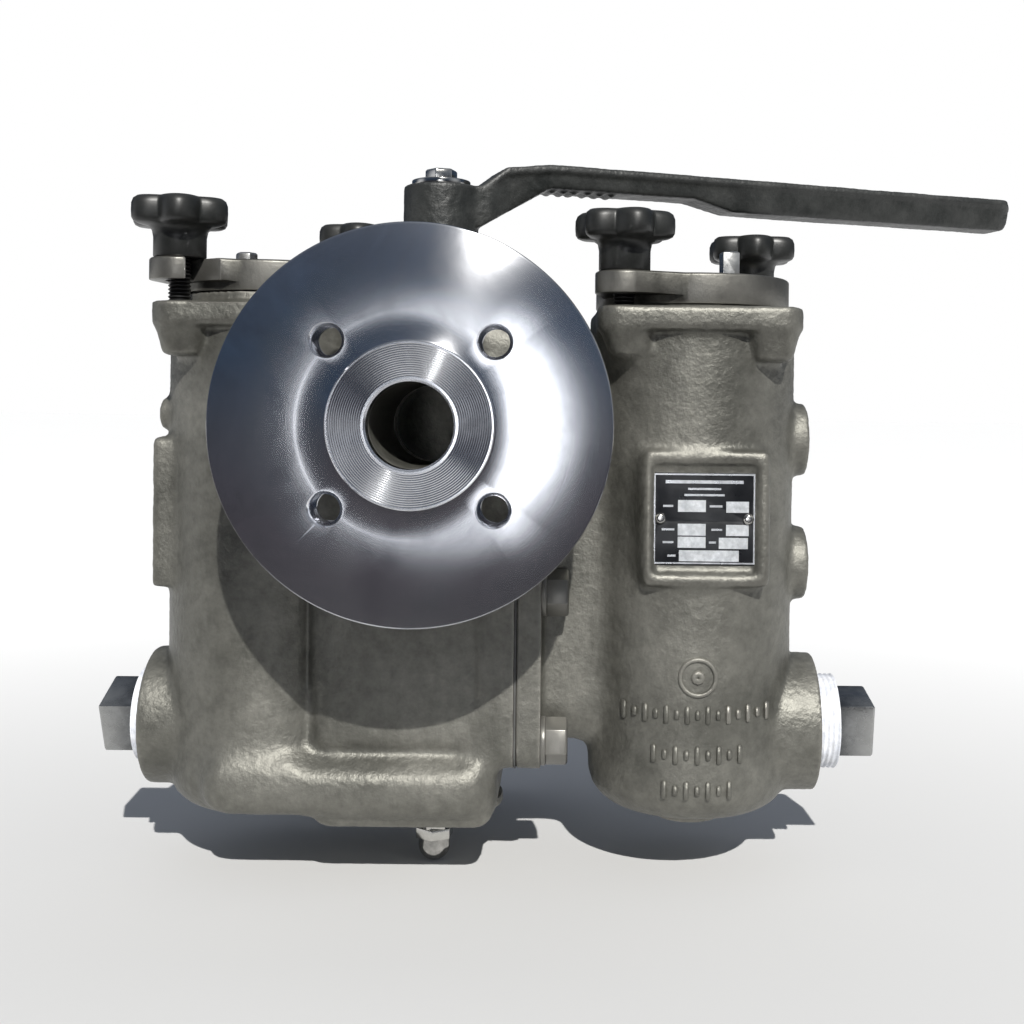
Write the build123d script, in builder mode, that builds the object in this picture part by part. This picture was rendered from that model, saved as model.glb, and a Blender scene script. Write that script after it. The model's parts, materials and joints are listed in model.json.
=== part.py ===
from build123d import *
import os
from math import atan2, cos, degrees, hypot, radians, sin

# Duplex basket strainer, nominal size 1 1/4 inch, with a lever-operated changeover valve.
# Millimetres, +Z up. The origin is the centre of the inlet flange's bolting face. The line enters
# along +Y, the left pot is on -X and the right pot on +X.

os.makedirs("parts", exist_ok=True)

# Line flanges: class 150 drilling for 1 1/4 inch, tapped 1/2 inch
FLANGE_OD = 152.4
FLANGE_THICK = 16.0
RAISED_FACE_OD = 63.5
RAISED_FACE_HIGH = 1.6
BOLT_CIRCLE = 88.9
TAPPED_HOLE = 12.7
LINE_BORE = 33.0
NECK_R = 30.0
SPIGOT_R = 24.0
SPIGOT_LONG = 10.0

# Layout
VALVE_Y = 110.0
OUTLET_Y = 2 * VALVE_Y
LOWER_PORT_Z = -104.0
LEFT_POT_X = -74.5
RIGHT_POT_X = 115.0
BODY_BOTTOM_Z = -172.0

# Pots
POT_TOP_R = 46.4
POT_TOP_Z = 48.5
POT_BOTTOM_R = 45.2
POT_FOOT_RISE = 3.0
POT_FOOT_R = 16.0
POT_BORE_R = 38.0
BASKET_BORE_R = 35.0
BASKET_LEDGE_Z = -22.0
POT_FLOOR_Z = -160.0

# Pot heads: square block, corner lugs, stud and cover geometry
BLOCK_HALF_X = 44.0
BLOCK_HALF_Y = 50.0
BLOCK_CORNER_R = 11.0
BLOCK_TOP_Z = 51.0
BLOCK_BOTTOM_Z = 40.5
LUG_BOTTOM_Z = 28.0
LUG_SIZE = 24.4
LUG_CORNER_R = 9.0
LUG_ROOT = 4.0
LUG_INSET = 0.6
LUG_DRAFT = 14.0
STUD_X = 32.6
STUD_Y = 40.0
STUD_R = 4.76
STUD_HOLE_DEEP = 20.5
SEAT_R = 43.0
LEFT_SEAT_Z = 55.6
RIGHT_SEAT_Z = 51.9
SEAL_INNER_R = 39.2
SEAL_OUTER_R = 41.4
SEAL_DEEP = 2.0
COVER_R = 43.7
COVER_THICK = 13.2
COVER_GAP = 0.3
EAR_R = 12.5
EAR_RELIEF = 3.8
EAR_ROOT = 6.0
HOOK_SLOT = 11.2
HOOK_SWEEP = 14.0

# Covers' vent plugs
VENT_X = 16.0
VENT_Y = 8.0
VENT_DEEP = 10.0
VENT_SHANK = 9.0
HEX_PLUG_R = 4.2
HEX_PLUG_AF = 8.8
HEX_PLUG_HIGH = 8.5
SQUARE_PLUG_R = 5.1
SQUARE_PLUG_AF = 7.4
SQUARE_PLUG_HIGH = 13.0
SQUARE_PLUG_TURN = 8.0

# Baskets and their wire handles
BASKET_R = 31.5
BASKET_WALL = 1.0
BASKET_RIM_THICK = 3.0
BASKET_RIM_GAP = 0.4
BASKET_FLOOR_Z = -148.0
BASKET_ROWS = 7
BASKET_HOLE_PAIRS = 6
BASKET_HOLE_R = 3.5
BAIL_R = 33.5
BAIL_WIRE_R = 1.6
BAIL_BEND_Z = 8.0

# Knobs
KNOB_LOBES = 6
LOBE_CIRCLE_R = 16.8
LOBE_R = 6.5
LOBE_THICK = 11.5
STAR_CORE_R = 15.8
STAR_VALLEY_R = 2.5
KNOB_EDGE_R = 1.2
FRONT_KNOB_TURN = -15.0
REAR_KNOB_TURN = 30.0
STUD_END_GAP = 0.5
KNOB_HUB_R = 11.0
KNOB_HUB_LONG = 13.5
KNOB_SOCKET = 18.0
KNOB_GAP = 0.3

# Valve housing and changeover valve
HOUSING_HALF_Y = 43.0
HOUSING_LEFT_X = -50.0
HOUSING_TOP_Z = 50.0
CHAMBER_PLUG_SEAT_R = 31.0
CHAMBER_PLUG_SEAT_DEEP = 4.0
BONNET_SCREW_PITCH_X = 49.0
BONNET_SCREW_PITCH_Y = 54.0
BONNET_SCREW_R = 3.5
BONNET_SCREW_DEEP = 16.0
BONNET_THICK = 8.0
PACKING_R = 11.5
PACKING_BOTTOM_Z = 56.0
PACKING_TOP_Z = 72.0
STUFFING_BOX_TOP_Z = 79.0
STUFFING_BOX_R = 15.5
GLAND_FLANGE_R = 14.5
GLAND_FLANGE_THICK = 3.0
BONNET_WIDE = 60.0
BONNET_DEEP = 68.0
BONNET_CORNER_R = 9.0
BONNET_SPIGOT_Z = 33.0
BONNET_SCREW_AF = 11.0
BONNET_SCREW_HEAD = 5.0
CHAMBER_R = 27.5
BALL_R = 25.0
SEAT_POCKET_R = 18.3
SEAT_OUTER_X = 29.0
SEAT_INNER_X = 18.4
LINK_R = 8.0
STEM_R = 7.5
BALL_GAP = 1.5
TANG_WIDE = 6.0
TANG_LONG = 18.0
TANG_Z = 19.5
TANG_END_GAP = 0.2
LINK_TANG_LONG = 13.6
STEM_COLLAR_R = 11.0
STEM_COLLAR_THICK = 6.0
STEM_SHOULDER_GAP = 0.4
TRUNNION_R = 6.0
TRUNNION_END_Z = -140.0
ADJUSTER_R = 4.76
ADJUSTER_BOSS_R = 11.0
ADJUSTER_BOSS_END_Z = -177.0
JAM_NUT_AF = 14.0
JAM_NUT_TURN = 10.0
JAM_NUT_END_Z = -184.0
ACORN_AF = 15.2
ACORN_TURN = 25.0
ACORN_HEX_END_Z = -188.5
ACORN_DOME_R = 7.2
ACORN_COLLAR = 3.6
ACORN_DEEP = 8.2
FIT = 0.06

# Joint between the castings
JOINT_LEFT_X = 30.1
JOINT_FACE_X = 37.3
GASKET_THICK = 0.8
RIGHT_FLANGE_END_X = 48.6
JOINT_HALF_Y = 45.0
JOINT_TOP_Z = 44.0
JOINT_BOTTOM_Z = -147.5
JOINT_BOLT_Y = 35.0
JOINT_BOLT_OFFSET = 31.8
JOINT_BOLT_R = 5.5
WASHER_THICK = 2.1
WASHER_R = 10.4
BOLT_HEAD_AF = 17.5
BOLT_HEAD_HIGH = 9.5
BOLT_HEAD_TURN = 20.0
BOLT_CLEARANCE = 0.3
JOINT_BOLT_END_X = 20.0
JOINT_CORNER_R = 10.0
NECK_HALF_Y = 24.0
NECK_TOP_Z = 34.0
NECK_BOTTOM_Z = -142.0
NECK_CORNER_R = 20.0

# Cast details: bulge under the housing, side frame, bosses and pads
BULGE_X = -34.0
BULGE_Z = -154.0
BULGE_WIDE = 122.0
BULGE_HIGH = 26.0
BULGE_HALF_Y = 50.0
BULGE_CORNER_R = 10.0
BULGE_EDGE_R = 7.0
SIDE_FRAME_X = -122.0
SIDE_FRAME_Z = -40.0
SIDE_FRAME_HIGH = 66.0
SIDE_FRAME_PROUD = 25.0
SIDE_FRAME_DEEP = 2.5
SMALL_BOSS_X = -122.5
SMALL_BOSS_Z = 3.0
SMALL_BOSS_FORWARD = 12.0
SMALL_BOSS_R = 7.0
SMALL_BOSS_LONG = 15.0
SIDE_PADS_Z = (-6.0, -62.0)
SIDE_PAD_R = 16.5
SIDE_PAD_PROUD = 5.5
FOOT_BOSS_R = 15.5
FOOT_BOSS_PROUD = 5.0
EDGE_BREAK = 0.8

# Drains: 1 1/4 inch pipe plugs
DRAIN_Z = -134.0
DRAIN_BOSS_R = 30.5
LEFT_DRAIN_X = -127.5
RIGHT_DRAIN_X = 171.0
DRAIN_BORE_R = 21.2
TAPE_R = 21.1
PLUG_THREAD_R = 20.3
PLUG_SQUARE = 23.8
PLUG_ENGAGED = 17.0
LEFT_TAPE_END_X = -132.7
LEFT_PLUG_END_X = -149.0
LEFT_PLUG_TURN = 22.0
RIGHT_TAPE_END_X = 181.0
RIGHT_PLUG_END_X = 197.7
RIGHT_PLUG_TURN = 11.0

# Lever
LEVER_ANGLE = 20.0
LEVER_LONG = 311.0
LEVER_HUB_R = 17.0
LEVER_HUB_BOTTOM_Z = 83.0
LEVER_HUB_TOP_Z = 107.6
LEVER_TOP_Z = 120.0
LEVER_HALF_WIDE = 12.0
STEM_SQUARE = 11.0
LEVER_ROOT_X = 16.0
LEVER_ROOT_BOTTOM_Z = 89.0
LEVER_SHOULDER_X = 28.0
LEVER_SHOULDER_Z = 117.0
LEVER_WEB_X = 50.0
LEVER_WEB_BOTTOM_Z = 109.0
LEVER_GRIP_X = 144.6
LEVER_GRIP_RAMP = 20.0
LEVER_GRIP_BOTTOM_Z = 104.0
LEVER_TIP_R = 7.0
LEVER_SPOTFACE_R = 14.5
LEVER_WASHER_R = 13.3
LEVER_WASHER_THICK = 2.5
LEVER_BOLT_R = 4.0
LEVER_BOLT_AF = 12.8
LEVER_BOLT_HEAD = 5.3
LEVER_BOLT_LONG = 20.0
LEVER_BOLT_TURN = 15.0

# Nameplate
PLATE_X = 117.0
PLATE_Z = -39.0
PLATE_WIDE = 43.5
PLATE_HIGH = 39.0
FRAME_WIDE = 55.6
FRAME_HIGH = 57.6
FRAME_RIM = 5.6
FRAME_FRONT_Y = VALVE_Y - 47.6
PLATE_FLOOR_Y = VALVE_Y - 44.0
PLATE_THICK = 0.8
PLATE_SCREW_X = 18.6
PLATE_SCREW_R = 1.2
PLATE_SCREW_DEEP = 3.0
PLATE_SCREW_HEAD_R = 2.3
FRAME_PROUD = 15.0


def save(piece, name):
    """Label one finished piece and write it to its own file."""
    piece.part.label = name
    export_step(piece.part, f"parts/{name}.step")


def level(x, z):
    """Horizontal plane at height z, centred on a vertical axis of the strainer."""
    return Plane(origin=(x, VALVE_Y, z))


def upright(x, y=VALVE_Y, z=0.0):
    """Vertical plane that faces the front: its own X is +X and its own Y is up."""
    return Plane(origin=(x, y, z), x_dir=(1, 0, 0), z_dir=(0, -1, 0))


def sideways(x, z=0.0):
    """Vertical plane that faces +X: its own X is +Y and its own Y is up."""
    return Plane(origin=(x, VALVE_Y, z), x_dir=(0, 1, 0), z_dir=(1, 0, 0))


# ---------------------------------------------------------------- castings


def add_pot(x):
    """Drafted outside of one pot with a rounded foot."""
    with BuildSketch(upright(x)) as profile:
        with BuildLine():
            Polyline(
                (0, BODY_BOTTOM_Z),
                (POT_BOTTOM_R, BODY_BOTTOM_Z + POT_FOOT_RISE),
                (POT_TOP_R, POT_TOP_Z),
                (0, POT_TOP_Z),
                close=True,
            )
        make_face()
        foot = profile.vertices().sort_by(Axis.X).group_by(Axis.Y)[1]
        fillet(foot, POT_FOOT_R)
    revolve(profile.sketch, axis=Axis((x, VALVE_Y, 0), (0, 0, 1)))


def add_head(x, seat_z):
    """Square head of one pot: block, four hanging corner lugs and the cover's seat."""
    with BuildSketch(level(x, BLOCK_BOTTOM_Z)) as profile:
        RectangleRounded(2 * BLOCK_HALF_X, 2 * BLOCK_HALF_Y, BLOCK_CORNER_R)
    extrude(profile.sketch, amount=BLOCK_TOP_Z - BLOCK_BOTTOM_Z)
    lug_x = BLOCK_HALF_X - LUG_INSET - LUG_SIZE / 2
    lug_y = BLOCK_HALF_Y - LUG_INSET - LUG_SIZE / 2
    lug_root_z = BLOCK_BOTTOM_Z + LUG_ROOT
    for side_x in (-1, 1):
        for side_y in (-1, 1):
            with BuildSketch(level(x, lug_root_z)) as lug:
                with Locations((side_x * lug_x, side_y * lug_y)):
                    RectangleRounded(LUG_SIZE, LUG_SIZE, LUG_CORNER_R)
            extrude(lug.sketch, amount=LUG_BOTTOM_Z - lug_root_z, taper=LUG_DRAFT)
    with BuildSketch(level(x, BLOCK_TOP_Z - 1)) as profile:
        Circle(SEAT_R)
    extrude(profile.sketch, amount=seat_z - BLOCK_TOP_Z + 1)


def add_drain_boss(x, face_x):
    """Round boss low on the outer side of one pot."""
    with BuildSketch(sideways(x, DRAIN_Z)) as profile:
        Circle(DRAIN_BOSS_R)
    extrude(profile.sketch, amount=face_x - x)


def cut_pot(x, seat_z, drain_x):
    """Bore, basket ledge, seal groove, stud holes and drain of one pot."""
    with BuildSketch(level(x, POT_FLOOR_Z)) as profile:
        Circle(BASKET_BORE_R)
    extrude(profile.sketch, amount=seat_z - POT_FLOOR_Z, mode=Mode.SUBTRACT)
    with BuildSketch(level(x, BASKET_LEDGE_Z)) as profile:
        Circle(POT_BORE_R)
    extrude(profile.sketch, amount=seat_z - BASKET_LEDGE_Z, mode=Mode.SUBTRACT)
    with BuildSketch(level(x, seat_z)) as profile:
        Circle(SEAL_OUTER_R)
        Circle(SEAL_INNER_R, mode=Mode.SUBTRACT)
    extrude(profile.sketch, amount=-SEAL_DEEP, mode=Mode.SUBTRACT)
    with BuildSketch(level(x, BLOCK_TOP_Z)) as profile:
        with Locations((-STUD_X, -STUD_Y), (STUD_X, STUD_Y)):
            Circle(STUD_R + FIT)
    extrude(profile.sketch, amount=-STUD_HOLE_DEEP, mode=Mode.SUBTRACT)
    with BuildSketch(sideways(x, DRAIN_Z)) as profile:
        Circle(DRAIN_BORE_R)
    extrude(profile.sketch, amount=drain_x - x, mode=Mode.SUBTRACT)


def cut_passages(near_x, far_x):
    """Upper and lower passages between a port of the valve and a pot."""
    for port_z in (0, LOWER_PORT_Z):
        with BuildSketch(sideways(near_x, port_z)) as profile:
            Circle(LINE_BORE / 2)
        extrude(profile.sketch, amount=far_x - near_x, mode=Mode.SUBTRACT)


def add_joint_flange(near_x, far_x):
    """Plate-like flange where the two castings meet."""
    middle_z = (JOINT_TOP_Z + JOINT_BOTTOM_Z) / 2
    with BuildSketch(sideways(near_x, middle_z)) as profile:
        RectangleRounded(2 * JOINT_HALF_Y, JOINT_TOP_Z - JOINT_BOTTOM_Z, JOINT_CORNER_R)
    extrude(profile.sketch, amount=far_x - near_x)


def joint_bolt_places():
    """Eight bolt centres as (Y from the valve axis, Z), four around each port."""
    rows = [port + side * JOINT_BOLT_OFFSET for port in (0, LOWER_PORT_Z) for side in (-1, 1)]
    return [(side * JOINT_BOLT_Y, row) for row in rows for side in (-1, 1)]


def cut_joint_holes(near_x, far_x, radius):
    """Bolt holes of the joint between two X positions."""
    with BuildSketch(sideways(near_x)) as profile:
        with Locations(*joint_bolt_places()):
            Circle(radius)
    extrude(profile.sketch, amount=far_x - near_x, mode=Mode.SUBTRACT)


def add_plate_frame(plane, wide, high, proud, floor_deep):
    """Raised rectangular frame, built back into the pot from its front plane."""
    with BuildSketch(plane) as profile:
        RectangleRounded(wide, high, 3)
    extrude(profile.sketch, amount=-proud)
    with BuildSketch(plane) as profile:
        RectangleRounded(wide - 2 * FRAME_RIM, high - 2 * FRAME_RIM, 1.5)
    extrude(profile.sketch, amount=-floor_deep, mode=Mode.SUBTRACT)


def add_line_neck(face_y, z, outward):
    """Neck and screwed spigot that carry a line flange: outward is -1 in front, +1 behind."""
    neck_end = face_y - outward * FLANGE_THICK
    with BuildSketch(upright(0, VALVE_Y, z)) as profile:
        Circle(NECK_R)
    extrude(profile.sketch, amount=-outward * abs(neck_end - VALVE_Y))
    with BuildSketch(upright(0, VALVE_Y, z)) as profile:
        Circle(SPIGOT_R)
    extrude(profile.sketch, amount=-outward * (abs(neck_end - VALVE_Y) + SPIGOT_LONG))


def cut_line_bore(z, outward):
    """Line bore from the valve's ball out through the neck."""
    with BuildSketch(upright(0, VALVE_Y, z)) as profile:
        Circle(LINE_BORE / 2)
    extrude(profile.sketch, amount=-outward * VALVE_Y, mode=Mode.SUBTRACT)


def cut_seat_pockets(z, line_side):
    """Pockets for the three seats of one ball: left, right and towards the line."""
    for plane in (sideways(0, z), sideways(0, z).rotated((0, 180, 0))):
        with BuildSketch(plane) as profile:
            Circle(SEAT_POCKET_R)
        extrude(profile.sketch, amount=SEAT_OUTER_X, mode=Mode.SUBTRACT)
    with BuildSketch(upright(0, VALVE_Y, z)) as profile:
        Circle(SEAT_POCKET_R)
    extrude(profile.sketch, amount=-line_side * SEAT_OUTER_X, mode=Mode.SUBTRACT)


def left_casting():
    """Left pot and the housing of the changeover valve, one casting."""
    with BuildPart() as casting:
        with BuildSketch(upright(BULGE_X, VALVE_Y, BULGE_Z)):
            RectangleRounded(BULGE_WIDE, BULGE_HIGH, BULGE_CORNER_R)
        extrude(amount=BULGE_HALF_Y, both=True)
        fillet(casting.faces().sort_by(Axis.Y)[0].edges(), BULGE_EDGE_R)
        fillet(casting.faces().sort_by(Axis.Y)[-1].edges(), BULGE_EDGE_R)
        middle_x = (HOUSING_LEFT_X + JOINT_LEFT_X) / 2
        middle_z = (HOUSING_TOP_Z + BODY_BOTTOM_Z) / 2
        with BuildSketch(upright(middle_x, VALVE_Y, middle_z)):
            RectangleRounded(JOINT_LEFT_X - HOUSING_LEFT_X, HOUSING_TOP_Z - BODY_BOTTOM_Z, 10)
        extrude(amount=HOUSING_HALF_Y, both=True)
        add_pot(LEFT_POT_X)
        add_head(LEFT_POT_X, LEFT_SEAT_Z)
        add_joint_flange(JOINT_LEFT_X - 8, JOINT_FACE_X)
        add_line_neck(0, 0, -1)
        add_line_neck(OUTLET_Y, LOWER_PORT_Z, 1)
        add_drain_boss(LEFT_POT_X, LEFT_DRAIN_X)
        frame_plane = Plane(origin=(SIDE_FRAME_X, VALVE_Y, SIDE_FRAME_Z), x_dir=(0, -1, 0), z_dir=(-1, 0, 0))
        add_plate_frame(frame_plane, FRAME_WIDE, SIDE_FRAME_HIGH, SIDE_FRAME_PROUD, SIDE_FRAME_DEEP)
        with BuildSketch(sideways(SMALL_BOSS_X, SMALL_BOSS_Z)):
            with Locations((-SMALL_BOSS_FORWARD, 0)):
                Circle(SMALL_BOSS_R)
        extrude(amount=SMALL_BOSS_LONG)
        for top_z, bottom_z in ((HOUSING_TOP_Z, -CHAMBER_R), (LOWER_PORT_Z + CHAMBER_R, BODY_BOTTOM_Z)):
            with BuildSketch(level(0, bottom_z)):
                Circle(CHAMBER_R)
            extrude(amount=top_z - bottom_z, mode=Mode.SUBTRACT)
        with BuildSketch(level(0, BODY_BOTTOM_Z)):
            Circle(LINK_R + FIT)
        extrude(amount=HOUSING_TOP_Z - BODY_BOTTOM_Z, mode=Mode.SUBTRACT)
        with BuildSketch(level(0, BODY_BOTTOM_Z)):
            Circle(CHAMBER_PLUG_SEAT_R)
        extrude(amount=CHAMBER_PLUG_SEAT_DEEP, mode=Mode.SUBTRACT)
        with BuildSketch(level(0, HOUSING_TOP_Z)):
            with GridLocations(BONNET_SCREW_PITCH_X, BONNET_SCREW_PITCH_Y, 2, 2):
                Circle(BONNET_SCREW_R)
        extrude(amount=-BONNET_SCREW_DEEP, mode=Mode.SUBTRACT)
        cut_pot(LEFT_POT_X, LEFT_SEAT_Z, LEFT_DRAIN_X)
        cut_passages(JOINT_FACE_X, LEFT_POT_X)
        cut_line_bore(0, -1)
        cut_line_bore(LOWER_PORT_Z, 1)
        cut_seat_pockets(0, -1)
        cut_seat_pockets(LOWER_PORT_Z, 1)
        cut_joint_holes(JOINT_FACE_X, JOINT_BOLT_END_X, JOINT_BOLT_R)
    save(casting, "left_casting")


def right_casting():
    """Right pot with its neck and joint flange, one casting."""
    joint_x = JOINT_FACE_X + GASKET_THICK
    with BuildPart() as casting:
        add_pot(RIGHT_POT_X)
        add_head(RIGHT_POT_X, RIGHT_SEAT_Z)
        add_joint_flange(joint_x, RIGHT_FLANGE_END_X)
        with BuildSketch(sideways(joint_x, (NECK_TOP_Z + NECK_BOTTOM_Z) / 2)):
            RectangleRounded(2 * NECK_HALF_Y, NECK_TOP_Z - NECK_BOTTOM_Z, NECK_CORNER_R)
        extrude(amount=RIGHT_POT_X - joint_x)
        add_drain_boss(RIGHT_POT_X, RIGHT_DRAIN_X)
        for boss_z in SIDE_PADS_Z:
            with BuildSketch(sideways(RIGHT_POT_X, boss_z)):
                Circle(SIDE_PAD_R)
            extrude(amount=POT_TOP_R + SIDE_PAD_PROUD)
        with BuildSketch(level(RIGHT_POT_X, BODY_BOTTOM_Z - FOOT_BOSS_PROUD)):
            Circle(FOOT_BOSS_R)
        extrude(amount=2 * FOOT_BOSS_PROUD)
        frame_plane = upright(PLATE_X, FRAME_FRONT_Y, PLATE_Z)
        add_plate_frame(frame_plane, FRAME_WIDE, FRAME_HIGH, FRAME_PROUD, PLATE_FLOOR_Y - FRAME_FRONT_Y)
        cut_pot(RIGHT_POT_X, RIGHT_SEAT_Z, RIGHT_DRAIN_X)
        cut_passages(joint_x, RIGHT_POT_X)
        cut_joint_holes(joint_x, RIGHT_FLANGE_END_X, JOINT_BOLT_R + BOLT_CLEARANCE)
        with BuildSketch(upright(PLATE_X, PLATE_FLOOR_Y, PLATE_Z)):
            with Locations((-PLATE_SCREW_X, 0), (PLATE_SCREW_X, 0)):
                Circle(PLATE_SCREW_R)
        extrude(amount=-PLATE_SCREW_DEEP, mode=Mode.SUBTRACT)
    save(casting, "right_casting")


def joint_pieces():
    """Gasket, bolts and washers of the joint between the castings."""
    with BuildPart() as gasket:
        add_joint_flange(JOINT_FACE_X, JOINT_FACE_X + GASKET_THICK)
        cut_joint_holes(JOINT_FACE_X, RIGHT_FLANGE_END_X, JOINT_BOLT_R + BOLT_CLEARANCE)
        for port_z in (0, LOWER_PORT_Z):
            with BuildSketch(sideways(JOINT_FACE_X, port_z)):
                Circle(LINE_BORE / 2 + BOLT_CLEARANCE)
            extrude(amount=GASKET_THICK, mode=Mode.SUBTRACT)
    save(gasket, "joint_gasket")
    with BuildPart() as washers:
        with BuildSketch(sideways(RIGHT_FLANGE_END_X)):
            with Locations(*joint_bolt_places()):
                Circle(WASHER_R)
                Circle(JOINT_BOLT_R + BOLT_CLEARANCE, mode=Mode.SUBTRACT)
        extrude(amount=WASHER_THICK)
    save(washers, "flange_washers")
    head_x = RIGHT_FLANGE_END_X + WASHER_THICK
    with BuildPart() as bolts:
        with BuildSketch(sideways(head_x)):
            with Locations(*joint_bolt_places()):
                RegularPolygon(BOLT_HEAD_AF / 2, 6, major_radius=False, rotation=BOLT_HEAD_TURN)
        extrude(amount=BOLT_HEAD_HIGH)
        outer_faces = bolts.faces().group_by(Axis.X)[-1]
        chamfer(outer_faces.edges(), EDGE_BREAK)
        with BuildSketch(sideways(head_x)):
            with Locations(*joint_bolt_places()):
                Circle(JOINT_BOLT_R)
        extrude(amount=-(head_x - JOINT_BOLT_END_X - 2))
    save(bolts, "flange_bolts")


def line_flange(name, face_y, z, outward):
    """Machined line flange with raised face, four tapped holes and a screwed recess behind."""
    plate = Plane(origin=(0, face_y, z), x_dir=(1, 0, 0), z_dir=(0, outward, 0))
    with BuildPart() as flange:
        with BuildSketch(plate):
            Circle(FLANGE_OD / 2)
        extrude(amount=-FLANGE_THICK)
        chamfer(flange.edges().filter_by(GeomType.CIRCLE), EDGE_BREAK)
        with BuildSketch(plate):
            Circle(RAISED_FACE_OD / 2)
        extrude(amount=RAISED_FACE_HIGH)
        with BuildSketch(plate.offset(RAISED_FACE_HIGH)):
            Circle(LINE_BORE / 2)
        extrude(amount=-RAISED_FACE_HIGH - FLANGE_THICK, mode=Mode.SUBTRACT)
        with BuildSketch(plate):
            with PolarLocations(BOLT_CIRCLE / 2, 4, start_angle=45):
                Circle(TAPPED_HOLE / 2)
        extrude(amount=-FLANGE_THICK, mode=Mode.SUBTRACT)
        with BuildSketch(plate.offset(-FLANGE_THICK)):
            Circle(SPIGOT_R)
        extrude(amount=SPIGOT_LONG, mode=Mode.SUBTRACT)
    save(flange, name)


# ---------------------------------------------------------------- pot contents and covers


def basket(name, x):
    """Perforated basket with a solid floor that hangs by its rim from the pot's ledge."""
    with BuildPart() as strainer:
        with BuildSketch(level(x, BASKET_LEDGE_Z)):
            Circle(POT_BORE_R - BASKET_RIM_GAP)
            Circle(BASKET_R - BASKET_WALL, mode=Mode.SUBTRACT)
        extrude(amount=BASKET_RIM_THICK)
        with BuildSketch(level(x, BASKET_FLOOR_Z)):
            Circle(BASKET_R)
            Circle(BASKET_R - BASKET_WALL, mode=Mode.SUBTRACT)
        extrude(amount=BASKET_LEDGE_Z - BASKET_FLOOR_Z)
        with BuildSketch(level(x, BASKET_FLOOR_Z)):
            Circle(BASKET_R)
        extrude(amount=BASKET_WALL)
        row_pitch = (BASKET_LEDGE_Z - BASKET_FLOOR_Z) / (BASKET_ROWS + 1)
        for row in range(BASKET_ROWS):
            row_z = BASKET_FLOOR_Z + (row + 1) * row_pitch
            for column in range(BASKET_HOLE_PAIRS):
                angle = radians(180 / BASKET_HOLE_PAIRS * (column + row % 2 / 2))
                plane = Plane(origin=(x, VALVE_Y, row_z), z_dir=(cos(angle), sin(angle), 0))
                with BuildSketch(plane):
                    Circle(BASKET_HOLE_R)
                extrude(amount=BASKET_R + BASKET_WALL, both=True, mode=Mode.SUBTRACT)
    save(strainer, name)


def bail(name, x):
    """Wire handle that stands on the basket's rim."""
    foot_z = BASKET_LEDGE_Z + BASKET_RIM_THICK
    with BuildPart() as handle:
        with BuildLine(upright(x)) as path:
            Line((-BAIL_R, foot_z), (-BAIL_R, BAIL_BEND_Z))
            ThreePointArc((-BAIL_R, BAIL_BEND_Z), (0, BAIL_BEND_Z + BAIL_R), (BAIL_R, BAIL_BEND_Z))
            Line((BAIL_R, BAIL_BEND_Z), (BAIL_R, foot_z))
        with BuildSketch(Plane(origin=(x - BAIL_R, VALVE_Y, foot_z))):
            Circle(BAIL_WIRE_R)
        sweep(path=path.wires()[0])
    save(handle, name)


def cover_seal(name, x, seat_z):
    """Flat ring in the groove of the cover's seat."""
    with BuildPart() as seal:
        with BuildSketch(level(x, seat_z - SEAL_DEEP)):
            Circle(SEAL_OUTER_R)
            Circle(SEAL_INNER_R, mode=Mode.SUBTRACT)
        extrude(amount=SEAL_DEEP)
    save(seal, name)


def cover(name, x, seat_z, turn, plug_r):
    """Round cover with a closed pivot ear and an open hook ear opposite it.

    turn is 0 with the hook in front on the left, 180 with the pivot there.
    """
    bottom_z = seat_z + COVER_GAP
    base = level(x, bottom_z).rotated((0, 0, turn))
    top = base.offset(COVER_THICK)
    ear_base = base.offset(EAR_RELIEF)
    hook_arc_r = 2 * hypot(STUD_X, STUD_Y)
    hook_angle = 180 + degrees(atan2(STUD_Y, STUD_X))
    with BuildPart() as lid:
        with BuildSketch(ear_base):
            with Locations((-STUD_X, -STUD_Y), (STUD_X, STUD_Y)):
                Circle(EAR_R)
            Circle(COVER_R - EAR_ROOT)
            make_hull()
        extrude(amount=COVER_THICK - EAR_RELIEF)
        with BuildSketch(base):
            Circle(COVER_R)
        extrude(amount=COVER_THICK)
        chamfer(lid.faces().sort_by(Axis.Z)[-1].edges(), EDGE_BREAK)
        with BuildSketch(base):
            with Locations((STUD_X, STUD_Y)):
                Circle(STUD_R + 2 * FIT)
        extrude(amount=COVER_THICK, mode=Mode.SUBTRACT)
        with BuildSketch(base):
            with BuildLine(mode=Mode.PRIVATE):
                hook_path = CenterArc((STUD_X, STUD_Y), hook_arc_r, hook_angle, HOOK_SWEEP)
            SlotArc(arc=hook_path, height=HOOK_SLOT)
        extrude(amount=COVER_THICK, mode=Mode.SUBTRACT)
        with BuildSketch(top):
            with Locations((-VENT_X, VENT_Y)):
                Circle(plug_r)
        extrude(amount=-VENT_DEEP, mode=Mode.SUBTRACT)
    save(lid, name)


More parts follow.
